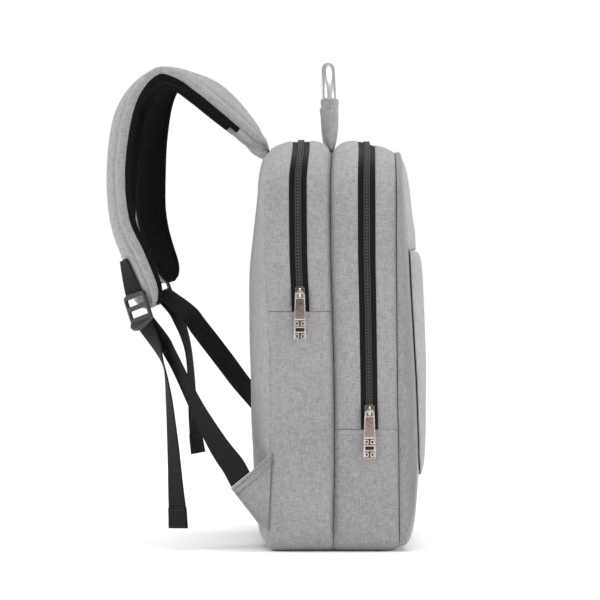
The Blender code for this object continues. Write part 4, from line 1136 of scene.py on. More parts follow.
def repeat_along(name, lines, tree, **inputs):
    """Lines are rows of (point, outwards). The tree's shapes along them become one plain mesh."""
    points = []
    outs = []
    edges = []
    for line in lines:
        edges += [(len(points) + i, len(points) + i + 1) for i in range(len(line) - 1)]
        points += [tuple(p) for p, _ in line]
        outs += [tuple(o) for _, o in line]
    mesh = bpy.data.meshes.new(name)
    mesh.from_pydata(points, edges, [])
    way = mesh.attributes.new("out", "FLOAT_VECTOR", "POINT")
    way.data.foreach_set("vector", np.array(outs, np.float32).ravel())
    obj = add_object(name, mesh)
    modifier = obj.modifiers.new("repeat", "NODES")
    modifier.node_group = tree
    sockets = {s.name: s.identifier for s in tree.interface.items_tree if s.in_out == "INPUT"}
    for key, value in inputs.items():
        modifier[sockets[key]] = value
    evaluated = obj.evaluated_get(bpy.context.evaluated_depsgraph_get())
    baked = bpy.data.meshes.new_from_object(evaluated)
    baked.name = name
    obj.modifiers.clear()
    obj.data = baked
    return obj


BLACK_STITCH = (0.0028, 0.0022, 0.0006, BLACK_THREAD)
STITCH_TREE = repeat_tree("stitch rows", ("Length", "Thread"), stitch_shape)
LOOP_TREE = repeat_tree("coil loops", ("Radius", "Strand"), loop_shape)


def stitches(name, lines, pitch=0.0034, length=0.0026, thread=0.0007, material=THREAD_WITH_PAINTED_SHADE):
    obj = repeat_along(
        name, lines, STITCH_TREE, Pitch=pitch, Length=length, Thread=thread, Material=material
    )
    add_detail(obj, "black_webbing" if material == BLACK_THREAD else "grey_fabric")


# %% [markdown]
# ## Zips
#
# Seen from outside, a coil zip is two columns of small loops that interlock. They are modelled as loops on
# a dark bed, half a pitch apart. The slider is a domed plate over the coil with a bridge, and the pull is
# a cast tab: an eye, a sunk polished panel between two rims, and two raised blocks near its end. The sunk
# panel is coloured darker, and dark plates fill the slot and the recesses under the blocks: painted shade.

# %% Coils
LOOP_PITCH = 0.0034
LOOP_RADIUS = 0.00150
STRAND = 0.00046
COLUMN_PLACE = 0.00150
# The bed under the loops: shares of half its width, and heights above the tape.
BED = ((1, 0.0002), (0.8, 0.0008), (-0.8, 0.0008), (-1, 0.0002))
for row in ZIPS:
    name = row.name + "_zipper_coil"
    samples = gusset_run(row.end, True)
    out = outward(samples)
    foot = gusset_points(samples, [row.middle])[0] - out * ZIP_TAPE_DROP
    lines = [foot + out * height + np.array([0, COIL_WIDTH / 2 * share, 0]) for share, height in BED]
    finish_piece(lofted(name + "_bed", np.stack(lines, 1), COIL_BED), name)
    for column, side in ((1, 1), (2, -1)):
        places = foot + out * (COIL_HEIGHT - STRAND) + np.array([0, side * COLUMN_PLACE, 0])
        ways = out
        if column == 2:
            step = (places[2] - places[1]) / np.linalg.norm(places[2] - places[1])
            places = np.concatenate((places[:1], (places[1] + step * LOOP_PITCH / 2)[None], places[3:]))
            ways = np.concatenate((out[:2], out[3:]))
        loops = repeat_along(
            f"{name}_loops_{column}", [list(zip(places[1:-1], ways[1:-1]))], LOOP_TREE,
            Pitch=LOOP_PITCH, Radius=LOOP_RADIUS, Strand=STRAND, Material=COIL_FINISH,
        )
        add_detail(loops, "zipper_coil")
        print(loops.name, "faces", len(loops.data.polygons))


# %% Small solid parts
def part_mesh(name, shapes, material, bevel=0.0003, segments=2):
    """Prisms joined in one piece. A shape is an outline, its holes, a low and a high level, and a place."""
    whole = bmesh.new()
    for outline, holes, low, high, place in shapes:
        body = bmesh.new()
        edges = []
        for loop in (outline, *holes):
            corners = [body.verts.new((u, v, low)) for u, v in loop]
            edges += [body.edges.new((a, b)) for a, b in zip(corners, corners[1:] + corners[:1])]
        bmesh.ops.triangle_fill(body, use_beauty=True, edges=edges, normal=(0, 0, 1))
        made = bmesh.ops.extrude_face_region(body, geom=list(body.faces))
        lifted = [v for v in made["geom"] if isinstance(v, bmesh.types.BMVert)]
        bmesh.ops.translate(body, verts=lifted, vec=(0, 0, high - low))
        bmesh.ops.recalc_face_normals(body, faces=body.faces)
        sharp = [e for e in body.edges if len(e.link_faces) == 2 and e.calc_face_angle() > math.radians(28)]
        bmesh.ops.bevel(
            body, geom=sharp, offset=min(bevel, (high - low) * 0.4), segments=segments, profile=0.5,
            affect="EDGES", clamp_overlap=True,
        )
        body.transform(place)
        bmesh.ops.recalc_face_normals(body, faces=body.faces)
        piece = bpy.data.meshes.new("shape")
        body.to_mesh(piece)
        body.free()
        whole.from_mesh(piece)
        bpy.data.meshes.remove(piece)
    mesh = bpy.data.meshes.new(name)
    whole.to_mesh(mesh)
    whole.free()
    mesh.materials.append(material)
    mesh.shade_smooth()
    return add_object(name, mesh)


def rectangle(half_u, low, high, corner=0.0, steps=4):
    """A rectangle's corners, rounded where a corner radius is given."""
    if not corner:
        return [(-half_u, low), (half_u, low), (half_u, high), (-half_u, high)]
    points = []
    for cu, cv, start in (
        (half_u - corner, low + corner, -90), (half_u - corner, high - corner, 0),
        (corner - half_u, high - corner, 90), (corner - half_u, low + corner, 180),
    ):
        for k in range(steps + 1):
            a = math.radians(start + 90 * k / steps)
            points.append((cu + corner * math.cos(a), cv + corner * math.sin(a)))
    return points


def with_mirror(right):
    """A whole outline from its right half, given from the bottom up."""
    return right + [(-u, v) for u, v in right[::-1]]


def moved(outline, u, v=0.0):
    return [(p + u, q + v) for p, q in outline]


def pull_axis(row):
    """The middle of the bar that a pull turns on."""
    out = COIL_HEIGHT - ZIP_TAPE_DROP + 3 * CLEAR + SLIDER_PLATE + BRIDGE_ROOM / 2
    z = row.end + SLIDER_ABOVE_END
    back = float(seam_y(z, "back"))
    y = back + (float(seam_y(z, "front")) - back) * row.middle
    return Vector((-BAG_WIDTH / 2 - out, y, z))


# %% Sliders
SLIDER_METAL = plain_grain("slider_metal", ((0.10, 0.09, 0.085), (0.22, 0.20, 0.19)), 0.25, 1.0, 400.0)
TO_SIDE = Matrix((-Y, Z, -X)).transposed().to_4x4()
UPRIGHT = Matrix(((0, 0, 1, 0), (1, 0, 0, 0), (0, 1, 0, 0), (0, 0, 0, 1)))
JOIN = 0.0004
# The right half of the slider's plate, as shares of half its width and half its length.
SHIELD = ((0.62, -1), (1, -0.35), (1, 0.55), (0.55, 1))
FLANGE = (-0.85, 0.8)
ARCH_STEPS = 12
ARCH_POWER = 0.6


def arch_line(half, low, high):
    turns = [math.pi * k / ARCH_STEPS for k in range(ARCH_STEPS + 1)]
    return [(half * math.cos(a), low + (high - low) * math.sin(a) ** ARCH_POWER) for a in turns]


def make_slider(name, axis, place):
    """A domed plate on two flanges, with a bridge for the pull."""
    face = -axis.x - BAG_WIDTH / 2
    low = COIL_HEIGHT - ZIP_TAPE_DROP + 3 * CLEAR - face
    high = low + SLIDER_PLATE
    half = SLIDER_WIDTH / 2
    long = SLIDER_LENGTH / 2
    shield = with_mirror([(half * u, long * v) for u, v in SHIELD])
    flange = rectangle(BRIDGE_WALL / 2, *[long * v for v in FLANGE])
    shapes = [(shield, [], low, high, place)]
    for side in (1, -1):
        outline = moved(flange, side * (half - BRIDGE_WALL / 2))
        shapes.append((outline, [], -face - ZIP_TAPE_DROP / 2, low + JOIN, place))
    slider = part_mesh(name + "_slider_cast", shapes, SLIDER_METAL, 0.0005, 3)
    finish_piece(slider, name + "_slider")
    foot = high - JOIN
    top = high + BRIDGE_ROOM
    arch = arch_line(BRIDGE_LENGTH / 2, foot, top + BRIDGE_WALL)
    arch += arch_line(BRIDGE_LENGTH / 2 - BRIDGE_WALL, foot, top)[::-1]
    bridge = [(arch, [], -BRIDGE_WIDTH / 2, BRIDGE_WIDTH / 2, place @ UPRIGHT)]
    add_detail(part_mesh(name + "_slider_bridge", bridge, PULL_METAL), "pull_metal")


# %% Pulls
# Places along a pull from its axis down, each a low and a high one.
PULL_BLOCKS = ((-0.0350, -0.0286), (-0.0482, -0.0418))
PULL_SLOT = (-0.0402, -0.0366)
# Right halves of the outline and of the panel in it: whether a place is measured in from the pull's
# width or from its neck's, how far in it lies, and where along the pull.
PULL_SIDE = (
    ("wide", 0.0012, -PULL_LENGTH), ("wide", 0, 0.0012 - PULL_LENGTH), ("wide", 0.0001, -0.030),
    ("neck", 0, -0.008), ("neck", 0.0002, -0.0025), ("neck", 0.0012, -0.0003),
    ("neck", 0.0030, PULL_BAR / 2 + 0.0006),
)
PANEL_SIDE = (("wide", 0.0016, -0.0268), ("neck", 0.0013, -0.0062))
PANEL_PLATE = (-0.0275, -0.0056)
# Rectangles: half width, low, high and corner radius.
PULL_EYE = (0.0030, -0.0046, -0.0009, 0.0014)
TILE = (0.0022, -0.0025, 0.0025, 0.0008)
TILE_HOLE = (0.0009, -0.0013, 0.0013, 0.0004)
TILE_PLACE = 0.0030
PULL_RIM = 0.0012
PLATE_INSET = 0.0008
PLATE_START = 0.0002
PLATE_STOP = 0.0007
PANEL_SINK = 0.0006


def make_pull(name, place):
    """A cast tab with an eye, a sunk polished panel painted darker as shade, and two raised blocks over dark
    plates painted as the shade in their recesses.
    """
    neck = PULL_NECK / 2
    wide = PULL_WIDTH / 2
    back = -PULL_THICKNESS / 2
    front = PULL_THICKNESS / 2
    halves = {"wide": wide, "neck": neck}
    outer, panel = (
        with_mirror([(halves[part] - inset, v) for part, inset, v in side])
        for side in (PULL_SIDE, PANEL_SIDE)
    )
    holes = [rectangle(*PULL_EYE), panel, rectangle(wide - 1.5 * PULL_RIM, *PULL_SLOT, 0.0005)]
    holes += [rectangle(wide - PULL_RIM, *block, 0.0006) for block in PULL_BLOCKS]
    shapes = [(outer, holes, back, front, place)]
    for block in PULL_BLOCKS:
        for u in (-TILE_PLACE, TILE_PLACE):
            at = (u, sum(block) / 2)
            tile = moved(rectangle(*TILE), *at)
            hole = moved(rectangle(*TILE_HOLE), *at)
            shapes.append((tile, [hole], back + JOIN, front - 0.0001, place))
    pull = part_mesh(name + "_pull_cast", shapes, PULL_METAL, 0.00028)
    finish_piece(pull, name + "_pull", body=name + "_pull_body")
    # The sunk panel's plate, in the darker copy of the metal: painted shade.
    sheet = rectangle(neck - PLATE_INSET, *PANEL_PLATE, JOIN)
    window = [(sheet, [], back + PLATE_START, front - PANEL_SINK, place)]
    # Dark plates at the bottom of the slot and of the block recesses: painted shade.
    recess = []
    for low, high in (*PULL_BLOCKS, PULL_SLOT):
        sheet = rectangle(wide - PLATE_INSET, low - JOIN, high + JOIN)
        recess.append((sheet, [], back + PLATE_START, back + PLATE_STOP, place))
    for part, plates, metal, bevel, segments in (
        ("_pull_window", window, PULL_SUNK_PAINTED_SHADE, 0.00015, 2), ("_pull_recess", recess, PULL_RECESS_PAINTED_SHADE, 0.0001, 1)
    ):
        detail = part_mesh(name + part, plates, metal, bevel, segments)
        add_detail(detail, "pull_metal", name + "_pull_body")
    print(name, "pull faces", len(pull.data.polygons))


for row in ZIPS:
    axis = pull_axis(row)
    place = Matrix.Translation(axis) @ TO_SIDE
    make_slider(row.name, axis, place)
    make_pull(row.name, place)

# %% [markdown]
# ## Handle
#
# The handle is one aluminium tube bent to an arch. Its ends stand in cloth sleeves that flatten towards
# the seam. A ring of points swept along the arch makes both, with the sleeve table giving its flattening.


# %% Tube and sleeves
RING_STEPS = 40
SLEEVE_ROWS = 60
SLEEVE_RIM = 0.0006
RIM_REACH = 0.0035
SLEEVE_CREASE = 0.0004
CREASE_RATE = 9
SLEEVE_STITCHED = (0.80, 0.97)
# The turned lip on top of a sleeve: shares of its width, and how far down each ring lies.
SLEEVE_LIP = ((0.93, 0.0), (0.80, 0.0015))


def ring_round(centre, along, wide, deep):
    side = Y.cross(along).normalized()
    turn = [TAU * k / RING_STEPS for k in range(RING_STEPS)]
    return [centre + side * wide * math.cos(a) + Y * deep * math.sin(a) for a in turn]


seam_top = Vector(gusset_points(np.array([[0, BAG_HEIGHT, 0, 1]]), [PINCH[CENTRE_SEAM].across])[0, 0])
half_arch = [
    seam_top + Vector((row.across * HANDLE_SPAN / 2, HANDLE_LEAN * row.up, HANDLE_RISE * row.up))
    for row in ARCH
]
left_arch = [Vector((-p.x, p.y, p.z)) for p in half_arch[:-1]]
arch_path = through(left_arch + half_arch[::-1], 2)
smooth_arch = through(arch_path, 5)
low = arch_path[0].z
foot = low + (SLEEVE_TOP - low) * SLEEVE[SLEEVE_BORE].up
inside = [p for p in smooth_arch if p.z > foot]
loops = []
for i, point in enumerate(inside):
    along = (inside[min(i + 1, len(inside) - 1)] - inside[max(i - 1, 0)]).normalized()
    loops.append(ring_round(point, along, TUBE_RADIUS, TUBE_RADIUS))
finish_piece(lofted("handle_tube_satin", loops, ALUMINIUM), "handle_tube")

half = smooth_arch[: len(smooth_arch) // 2 + 1]
for hand, name in ((1, "left_handle_sleeve"), (-1, "right_handle_sleeve")):
    loops = []
    stitch_line = []
    for up in np.linspace(SLEEVE[0].up, 1, SLEEVE_ROWS + 1):
        z = low + (SLEEVE_TOP - low) * up
        i = max(n for n in range(len(half) - 1) if half[n].z <= z)
        a, b = half[i], half[i + 1]
        centre = a.lerp(b, (z - a.z) / (b.z - a.z))
        along = (b - a).normalized()
        centre.x *= hand
        along.x *= hand
        rim = SLEEVE_RIM * math.exp(-((1 - up) * (SLEEVE_TOP - low) / RIM_REACH - 0.6) ** 2)
        crease = SLEEVE_CREASE * float(noise.noise(Vector((up * CREASE_RATE, hand, 0.3))))
        wide = float(value_at(SLEEVE, "wide", up)) * SLEEVE_RADIUS
        deep = float(value_at(SLEEVE, "deep", up)) * SLEEVE_RADIUS
        loops.append(ring_round(centre, along, wide + rim + crease, deep + rim))
        if SLEEVE_STITCHED[0] < up < SLEEVE_STITCHED[1]:
            outer = -Y.cross(along).normalized() * hand
            stitch_line.append((centre + outer * (wide + CLEAR), outer))
    lip = loops[-1]
    middle = sum(lip, Vector()) / len(lip)
    for share, drop in SLEEVE_LIP:
        loops.append([middle + (p - middle) * share - Z * drop for p in lip])
    finish_piece(lofted(name + "_cloth", loops, CLOTH), name)
    stitches(name + "_stitches", [stitch_line], thread=0.0008)
print("handle top", round(max(p.z for p in smooth_arch), 4))

# %% [markdown]
# ## Shoulder straps
#
# A strap is a sandwich: a grey padded cover outside, black air mesh inside, sewn together along a groove
# a little way in from each edge. Its path is a table of places, and sections are swept along it. The cover
# puffs between the grooves, and its edges are rounded like a bound hem.


# %% Frames along a strap
def twisted(frame_here, degrees):
    """The frame turned about its own route."""
    angle = math.radians(degrees)
    side = frame_here.side * math.cos(angle) - frame_here.out * math.sin(angle)
    out = frame_here.out * math.cos(angle) + frame_here.side * math.sin(angle)
    return frame_here._replace(side=side, out=out)


def route_frames(rows, hand, steps):
    """Frames along a strap: hand is -1 for the left one and 1 for the right."""
    kind = type(rows[0])
    rows = [kind(*values) for values in through([np.array(row, float) for row in rows], steps)]
    root = Vector(gusset_points(np.array([[0, BAG_HEIGHT, 0, 1]]), [0.0])[0, 0])
    points = [
        root + Vector((hand * row.side * BAG_WIDTH / 2, row.out * STRAP_REACH, row.up * BAG_HEIGHT))
        for row in rows
    ]
    frames = []
    for i, (point, row) in enumerate(zip(points, rows)):
        along = (points[min(i + 1, len(points) - 1)] - points[max(i - 1, 0)]).normalized()
        side = (X - along * along.x).normalized()
        frames.append(twisted(Frame(point, side, side.cross(along), row), row.roll))
    return frames


def lengths_along(frames):
    steps = [(b.centre - a.centre).length for a, b in zip(frames, frames[1:])]
    return np.concatenate(([0.0], np.cumsum(steps)))


def frame_at(frames, length):
    """The frame that lies a length along a route."""
    total = lengths_along(frames)
    i = int(np.clip(np.searchsorted(total, length, side="right") - 1, 0, len(frames) - 2))
    t = min((length - total[i]) / (total[i + 1] - total[i]), 1.0)
    a, b = frames[i], frames[i + 1]
    side = a.side.lerp(b.side, t).normalized()
    out = a.out.lerp(b.out, t).normalized()
    row = a.row and type(a.row)(*(p + (q - p) * t for p, q in zip(a.row, b.row)))
    return Frame(a.centre.lerp(b.centre, t), side, out, row)


# %% Pad sections
GROOVE_PLACE = 0.72
GROOVE_DEPTH = 0.0022
GROOVE_WIDTH = 0.0016
QUILT = 0.0008
EDGE_ROUND = 0.0022
END_CLOSES = 0.005
END_LEAST = 0.42
INNER_SHARE = 0.9985
STITCH_LIFT = 0.0001
HALF_PLACES = (
    1, 0.99, 0.97, 0.94, 0.90, 0.86, 0.82, 0.78, 0.755, 0.735, 0.72, 0.705, 0.685, 0.65, 0.60, 0.52, 0.42,
    0.30, 0.16,
)
PLACES = [*HALF_PLACES, 0.0, *[-p for p in reversed(HALF_PLACES)]]


def half_thick(row):
    return (STRAP_MESH + STRAP_COVER) / 2 * row.thick


def in_groove(half, across):
    """1 in the middle of the sewn groove, down to 0 away from it."""
    return math.exp(-(((abs(across) - GROOVE_PLACE) * half / GROOVE_WIDTH) ** 2))


def pad_top(row, half, across):
    """How far the whole pad curls up at a place across it, and how far its cover puffs above that."""
    curl = STRAP_CURL * row.arch * (1 - across**2)
    puff = STRAP_PUFF * row.arch * max(0.0, 1 - (across / GROOVE_PLACE) ** 2)
    return curl, puff - GROOVE_DEPTH * in_groove(half, across) * min(1.0, row.thick)


def edge_drop(half, across, radius):
    left = min((1 - abs(across)) * half, radius)
    return radius - math.sqrt(max(radius**2 - (radius - left) ** 2, 0.0))


def pad_half_width(row, left_over):
    half = STRAP_WIDTH * row.wide / 2
    past = 1 - min(left_over / STRAP_END_RADIUS, 1.0)
    return half * max(math.sqrt(max(1 - past**2, 0.0)), END_LEAST)


def pad_layer(name, frames, lengths, sign, material):
    """One layer swept along the strap: the cover, whose sign is 1, or what lies under it, -1."""
    whole = float(lengths_along(frames)[-1])
    sections = []
    for length in lengths:
        frame = frame_at(frames, length)
        row = frame.row
        half = pad_half_width(row, whole - length)
        closing = math.sqrt(max(1 - (1 - min((whole - length) / END_CLOSES, 1.0)) ** 2, 0.03))
        middle = (STRAP_MESH - STRAP_COVER) / 2 * row.thick
        face = middle + sign * (half_thick(row) - sign * middle) * closing
        shown = []
        hidden = []
        for across in PLACES:
            curl, puffed = pad_top(row, half, across)
            relief = puffed * closing if sign > 0 else QUILT * in_groove(half, across)
            drop = edge_drop(half, across, EDGE_ROUND * row.thick)
            side = frame.side * half * across
            shown.append(frame.centre + side + frame.out * (face + curl + relief - sign * drop))
            level = middle + sign * CLEAR / 2 + curl
            hidden.append(frame.centre + side * INNER_SHARE + frame.out * level)
        sections.append(shown + hidden[::-1])
    return lofted(name, sections, material)


def on_pad(frames, length, across, sign):
    """A place for a stitch on the cover, or on what lies under it, and the way out there."""
    here = frame_at(frames, length)
    half = pad_half_width(here.row, float(lengths_along(frames)[-1]) - length)
    curl, puffed = pad_top(here.row, half, across)
    height = sign * (half_thick(here.row) + STITCH_LIFT) + curl + (puffed if sign > 0 else 0.0)
    return here.centre + here.side * half * across + here.out * height, here.out * sign


# %% Webbing
# Half of a section, as shares of half the width and half the thickness.
WEB_UNDERSIDE = (
    (-1, -0.35), (-0.97, -0.85), (-0.9, -1), (-0.45, -1), (0, -1), (0.45, -1), (0.9, -1), (0.97, -0.85),
    (1, -0.35),
)
WEB_SECTION = [*WEB_UNDERSIDE, *[(-a, -b) for a, b in WEB_UNDERSIDE]]
WEB_STEP = 0.004


def webbing(name, frames, hem=0.0):
    """Webbing along a route, with rounded edges, doubled over its last stretch where it has a hem."""
    centres, sides, outs = (through([frame[k] for frame in frames], 6) for k in range(3))
    smooth = [Frame(c, a.normalized(), o.normalized(), None) for c, a, o in zip(centres, sides, outs)]
    whole = float(lengths_along(smooth)[-1])
    places = list(np.linspace(0, whole, max(8, round(whole / WEB_STEP)) + 1))
    if hem:
        start = whole - hem
        places = sorted([p for p in places if abs(p - start) > 0.001] + [start - 0.0002, start + 0.0002])
    sections = []
    for length in places:
        frame = frame_at(smooth, length)
        side = frame.side * WEBBING_WIDTH / 2
        out = frame.out * WEBBING * (1.0 if hem and length > whole - hem else 0.5)
        sections.append([frame.centre + side * a + out * b for a, b in WEB_SECTION])
    return lofted(name, sections, WEBBING_FINISH), whole, smooth


def on_webbing(frame, across, lift):
    """A place for a stitch. lift is a share of the thickness, below 0 on the back."""
    place = frame.centre + frame.side * WEBBING_WIDTH / 2 * across + frame.out * WEBBING * lift
    return place, frame.out * math.copysign(1, lift)


# %% Wings
HEM_BAND = 0.012
HEM_ROWS = (0.0035, 0.0095)
HEM_STEP = 0.0011
HEM_EDGE = 0.0004
STITCH_SINK = 0.0006
STITCH_BAND = 0.0007
WING_DENTS = 0.0008
WING_DENT_SIZE = 0.022
WING_EDGE = 0.002
WING_INSET = 0.0014
WING_ROWS = 90
WING_COLUMNS = 70
# Where the wing's corners lie along its rows.
WING_MARKS = (0, 0.25, 0.60, 0.90, 1)


def wing_outline(hand, swing):
    """The wing's corners, swung away from the bag's side, and the way its outer face looks."""
    angle = math.radians(swing)
    away = Vector((hand * math.sin(angle), math.cos(angle), 0))
    outwards = Vector((hand * math.cos(angle), -math.sin(angle), 0))
    if outwards.dot(Y) < -math.cos(math.radians(45)):
        outwards = -outwards
    pinch = SEAM_PINCH * float(value_at(PINCH, "side", 0.0))
    corners = []
    for row in WING:
        z = row.up * BAG_HEIGHT
        root = Vector((hand * (BAG_WIDTH / 2 - pinch + CLEAR), float(seam_y(z, "back")) + 2 * CLEAR, z))
        corners.append(root + away * row.reach * WING_REACH + outwards * CLEAR)
    return corners, outwards


def across_towards(normal, along, target):
    """The way in the cloth's plane that is square to along and leads towards the target."""
    way = normal.cross(along).normalized()
    return way if way.dot(target) > 0 else -way


def hem_frame(hand, swing):
    """The middle of the wing's hem, where the webbing ends."""
    corners, outwards = wing_outline(hand, swing)
    hem = corners[HEM_TIP] - corners[HEM_TOP]
    middle = (corners[HEM_TOP] + corners[HEM_TIP]) / 2
    away = across_towards(outwards, hem, middle - corners[-1])
    return Frame(middle + outwards * WING_CLOTH / 2 + away * CLEAR, hem.normalized(), outwards, None)


def make_wing(name, hand, swing):
    """A doubled piece of cloth: a turned hem along its upper edge, and rows of stitches at its rims."""
    corners, normal = wing_outline(hand, swing)
    top, hem_top, tip, low_tip, low = corners
    inwards = across_towards(normal, tip - hem_top, low - hem_top)
    under = across_towards(normal, low_tip - tip, top - tip)
    inset = across_towards(normal, low - hem_top, top - tip) * WING_INSET
    down = np.linspace(0, 1, WING_ROWS)[:, None, None]
    across = np.linspace(0, 1, WING_COLUMNS)[None, :, None]
    edge = np.stack([np.interp(down[:, :, 0], WING_MARKS, [c[k] for c in corners]) for k in range(3)], -1)
    root = np.array(top) * (1 - down) + np.array(low) * down + np.array(inset)
    points = root * (1 - across) + edge * across
    depth = (points - np.array(hem_top)) @ np.array(inwards)
    band = 1 / (1 + np.exp((depth - HEM_BAND) / HEM_EDGE))
    sewn_lines = sum(np.exp(-(((depth - row) / STITCH_BAND) ** 2)) for row in HEM_ROWS)
    distance = rim_distance(points)
    slow = soft_noise(points, WING_DENT_SIZE, 5 + hand) * WING_DENTS * np.clip(distance / 0.01, 0, 1)
    drop = HEM_STEP * (1 - np.sqrt(1 - np.clip(1 - distance / WING_EDGE, 0, 1) ** 2))
    relief = WING_CLOTH + STITCH_LIFT + HEM_STEP * (band - 1) - STITCH_SINK * sewn_lines + slow - drop
    shaped = points + np.array(normal) * relief[..., None]
    obj = wall(name + "_cloth", shaped, grid_uv(points), np.array(normal), WING_CLOTH - 0.0008, CLOTH)
    finish_piece(obj, name)

    face = normal * (WING_CLOTH + 2 * STITCH_LIFT)
    shares = np.linspace(0.05, 0.95, 12)
    lines = [[(top.lerp(tip, k) + inwards * row + face, normal) for k in shares] for row in HEM_ROWS]
    lower = low_tip - tip
    start = tip + under * 0.003 + lower.normalized() * 0.006 + normal * (WING_CLOTH + STITCH_LIFT)
    lines.append([(start + lower * k * 0.9, normal) for k in shares])
    stitches(name + "_stitches", lines, length=0.0024, thread=0.0008)
    fan = [(a - top).cross(b - top) for a, b in zip(corners[1:], corners[2:])]
    size = (round((tip - top).length, 3), round((low - top).length, 3))
    return obj, size, round(sum(fan, Vector()).length / 2, 5)


# %% Buckles
LIP_CUTS = (0.0, 0.003, 0.006, 0.009)
LIP_STEPS = 20
CORNER_STEPS = 4
SLOT_CORNER = 0.001
BUCKLE_EDGE = 0.0011


def make_buckle(name, frame_here, along):
    """A ladder-lock buckle: a plate with two slots, and a round lip bent up to lift it by."""
    half = BUCKLE_WIDTH / 2
    long = BUCKLE_LENGTH / 2
    corner = BUCKLE_BAR
    outer = []
    for cu, start in ((half - corner, 0), (corner - half, 90)):
        for k in range(CORNER_STEPS + 1):
            a = math.radians(start + 90 * k / CORNER_STEPS)
            outer.append((cu + corner * math.cos(a), long - corner + corner * math.sin(a)))
    outer.append((-half, -long))
    for step in range(1, LIP_STEPS):
        a = math.pi + math.pi * step / LIP_STEPS
        outer.append((half * math.cos(a), BUCKLE_LIP * math.sin(a) - long))
    outer.append((half, -long))
    slot = WEBBING_WIDTH / 2 + 2 * CLEAR
    near = BUCKLE_BAR / 2
    far = long - BUCKLE_BAR
    slots = [rectangle(slot, start, stop, SLOT_CORNER) for start, stop in ((near, far), (-far, -near))]
    plate = [(outer, slots, -BUCKLE_THICKNESS / 2, BUCKLE_THICKNESS / 2, Matrix())]
    obj = part_mesh(name, plate, PLASTIC, BUCKLE_EDGE, 3)
    lean = math.radians(LIP_BEND)
    body = bmesh.new()
    body.from_mesh(obj.data)
    for cut in LIP_CUTS:
        everything = [*body.verts, *body.edges, *body.faces]
        bmesh.ops.bisect_plane(body, geom=everything, plane_co=(0, -long - cut, 0), plane_no=(0, 1, 0))
    for vertex in body.verts:
        past = -long - vertex.co.y
        if past > CLEAR:
            depth = vertex.co.z
            vertex.co.y = depth * math.sin(lean) - long - past * math.cos(lean)
            vertex.co.z = past * math.sin(lean) + depth * math.cos(lean)
    place = Matrix((-frame_here.side, -along, frame_here.out)).transposed().to_4x4()
    body.transform(Matrix.Translation(frame_here.centre) @ place)
    bmesh.ops.recalc_face_normals(body, faces=body.faces)
    body.to_mesh(obj.data)
    body.free()
    return obj


# %% Both straps
PAD_END = 0.006
ROOT_STITCHES = (0.002, 0.006)
TAIL_STITCHES = (0.0025, HEM_LENGTH - 0.003)
TAB_BOX = 4
ON_FACE = 0.55
ON_HEM = 1.02


def make_pad(side_name, frames, whole):
    """The cover, the cloth root and the mesh under it, and the rows of stitches through them."""
    root = list(np.linspace(0, STRAP_ROOT_LENGTH, 18))
    rest = list(np.linspace(STRAP_ROOT_LENGTH, whole - PAD_END, 110)[1:])
    rest += list(whole - PAD_END * (1 - np.linspace(0, 1, 9)[1:]) ** 1.6)
    cover = pad_layer(side_name + "_strap_cover_cloth", frames, root + rest, 1, CLOTH)
    finish_piece(cover, side_name + "_strap_cover")
    first = pad_layer(side_name + "_strap_root_cloth", frames, root, -1, CLOTH)
    finish_piece(first, side_name + "_strap_root")
    mesh_lengths = [STRAP_ROOT_LENGTH + CLEAR] + rest
    inner = pad_layer(side_name + "_strap_mesh_padding", frames, mesh_lengths, -1, MESH_FINISH)
    finish_piece(inner, side_name + "_strap_mesh")
    along = np.linspace(0.012, whole - 0.022, 90)
    grooves = [[on_pad(frames, k, place, 1) for k in along] for place in (GROOVE_PLACE, -GROOVE_PLACE)]
    stitches(side_name + "_strap_groove_stitches", grooves, 0.0036, 0.0028)
    across = np.linspace(-0.9, 0.9, 14)
    seams = [[on_pad(frames, STRAP_ROOT_LENGTH - back, k, -1) for k in across] for back in ROOT_STITCHES]
    stitches(side_name + "_strap_root_stitches", seams)


def make_tab(side_name, frames, whole, hand):
    """The webbing sewn on the cover that holds the buckle. Returns its frames."""
    tab_frames = []
    for k in range(TAB_STEPS + 1):
        share = k / TAB_STEPS
        here = frame_at(frames, whole - TAB_LENGTH + (TAB_LENGTH - TAB_FROM_END) * share)
        tip = WEBBING_WIDTH / 2 * math.sin(math.radians(TAB_TWIST * share))
        rise = half_thick(here.row) + (STRAP_CURL + STRAP_PUFF) * here.row.arch + CLEAR + WEBBING / 2 + tip
        here = here._replace(centre=here.centre + here.out * rise)
        tab_frames.append(twisted(here, hand * TAB_TWIST * share))
    tab = webbing(side_name + "_strap_tab_webbing", tab_frames)[0]
    finish_piece(tab, side_name + "_strap_tab")
    sewn_down = tab_frames[:TAB_BOX]
    box = [[on_webbing(f, across, ON_FACE) for f in sewn_down] for across in (-0.8, 0.8)]
    for f in (sewn_down[0], sewn_down[-1]):
        box.append([on_webbing(f, across, ON_FACE) for across in (-0.8, 0, 0.8)])
    stitches(side_name + "_strap_tab_stitches", box, *BLACK_STITCH)
    return tab_frames


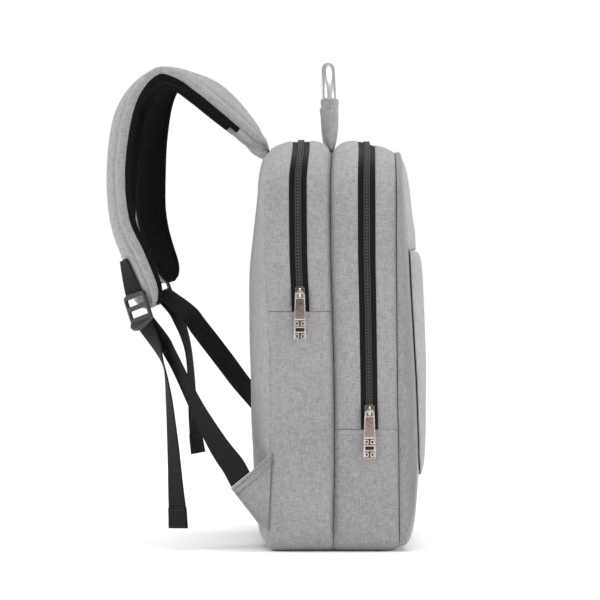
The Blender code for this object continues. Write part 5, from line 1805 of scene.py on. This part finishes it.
def make_strap(side_name, hand, pad, lower, tail, swing):
    frames = route_frames(pad, hand, 8)
    whole = float(lengths_along(frames)[-1])
    make_pad(side_name, frames, whole)
    last = make_tab(side_name, frames, whole, hand)[-1]
    along = last.out.cross(last.side).normalized()
    middle = last._replace(centre=last.centre + along * (BUCKLE_LENGTH / 2 + CLEAR))
    buckle = make_buckle(side_name + "_strap_buckle_moulded", middle, along)
    finish_piece(buckle, side_name + "_strap_buckle")

    foot = middle.centre + along * (BUCKLE_LENGTH / 2 - BUCKLE_BAR / 2)
    start = last._replace(centre=foot - last.out * ((BUCKLE_THICKNESS + WEBBING) / 2 + CLEAR))
    wing, size, area = make_wing(side_name + "_wing", hand, swing)
    route = [start, *route_frames(lower, hand, 2), hem_frame(hand, swing)]
    strip, length, smooth = webbing(side_name + "_lower_strip", route)
    finish_piece(strip, side_name + "_lower_webbing")

    below = start._replace(centre=start.centre + along * TAIL_START + last.out * (WEBBING + CLEAR))
    route = [below, *route_frames(tail, hand, 2)]
    loose, loose_length, smooth = webbing(side_name + "_tail_strip", route, HEM_LENGTH)
    finish_piece(loose, side_name + "_webbing_tail")
    lines = []
    for back in TAIL_STITCHES:
        here = frame_at(smooth, loose_length - back)
        for lift in (ON_HEM, -ON_HEM):
            lines.append([on_webbing(here, across, lift) for across in (-0.85, 0, 0.85)])
    stitches(side_name + "_tail_stitches", lines, *BLACK_STITCH)
    print(side_name, "pad", round(whole, 3), "lower", round(length, 3), "tail", round(loose_length, 3))


make_strap("left", -1, LEFT_PAD, LEFT_LOWER, LEFT_TAIL, LEFT_WING_SWING)
make_strap("right", 1, RIGHT_PAD, RIGHT_LOWER, RIGHT_TAIL, RIGHT_WING_SWING)

# %% The floor
FLOOR_REACH = 30.0
corners = [(FLOOR_REACH * x, FLOOR_REACH * y, 0) for x, y in ((-1, -1), (1, -1), (1, 1), (-1, 1))]
floor_mesh = bpy.data.meshes.new("floor")
floor_mesh.from_pydata(corners, [], [(0, 1, 2, 3)])
floor = add_object("floor", floor_mesh)
floor_material, nodes, shader = start_finish("pale_floor", 0.9)
nodes.node("ShaderNodeTexCoord")
place = Wire(nodes, nodes.last.outputs["Object"])
speckle = nodes.node("ShaderNodeTexNoise", None, Vector=place, Scale=3.0)
link_finish(nodes, shader, nodes.colour(speckle, (0.93, 0.93, 0.93), (0.95, 0.95, 0.95)))
floor_mesh.materials.append(floor_material)
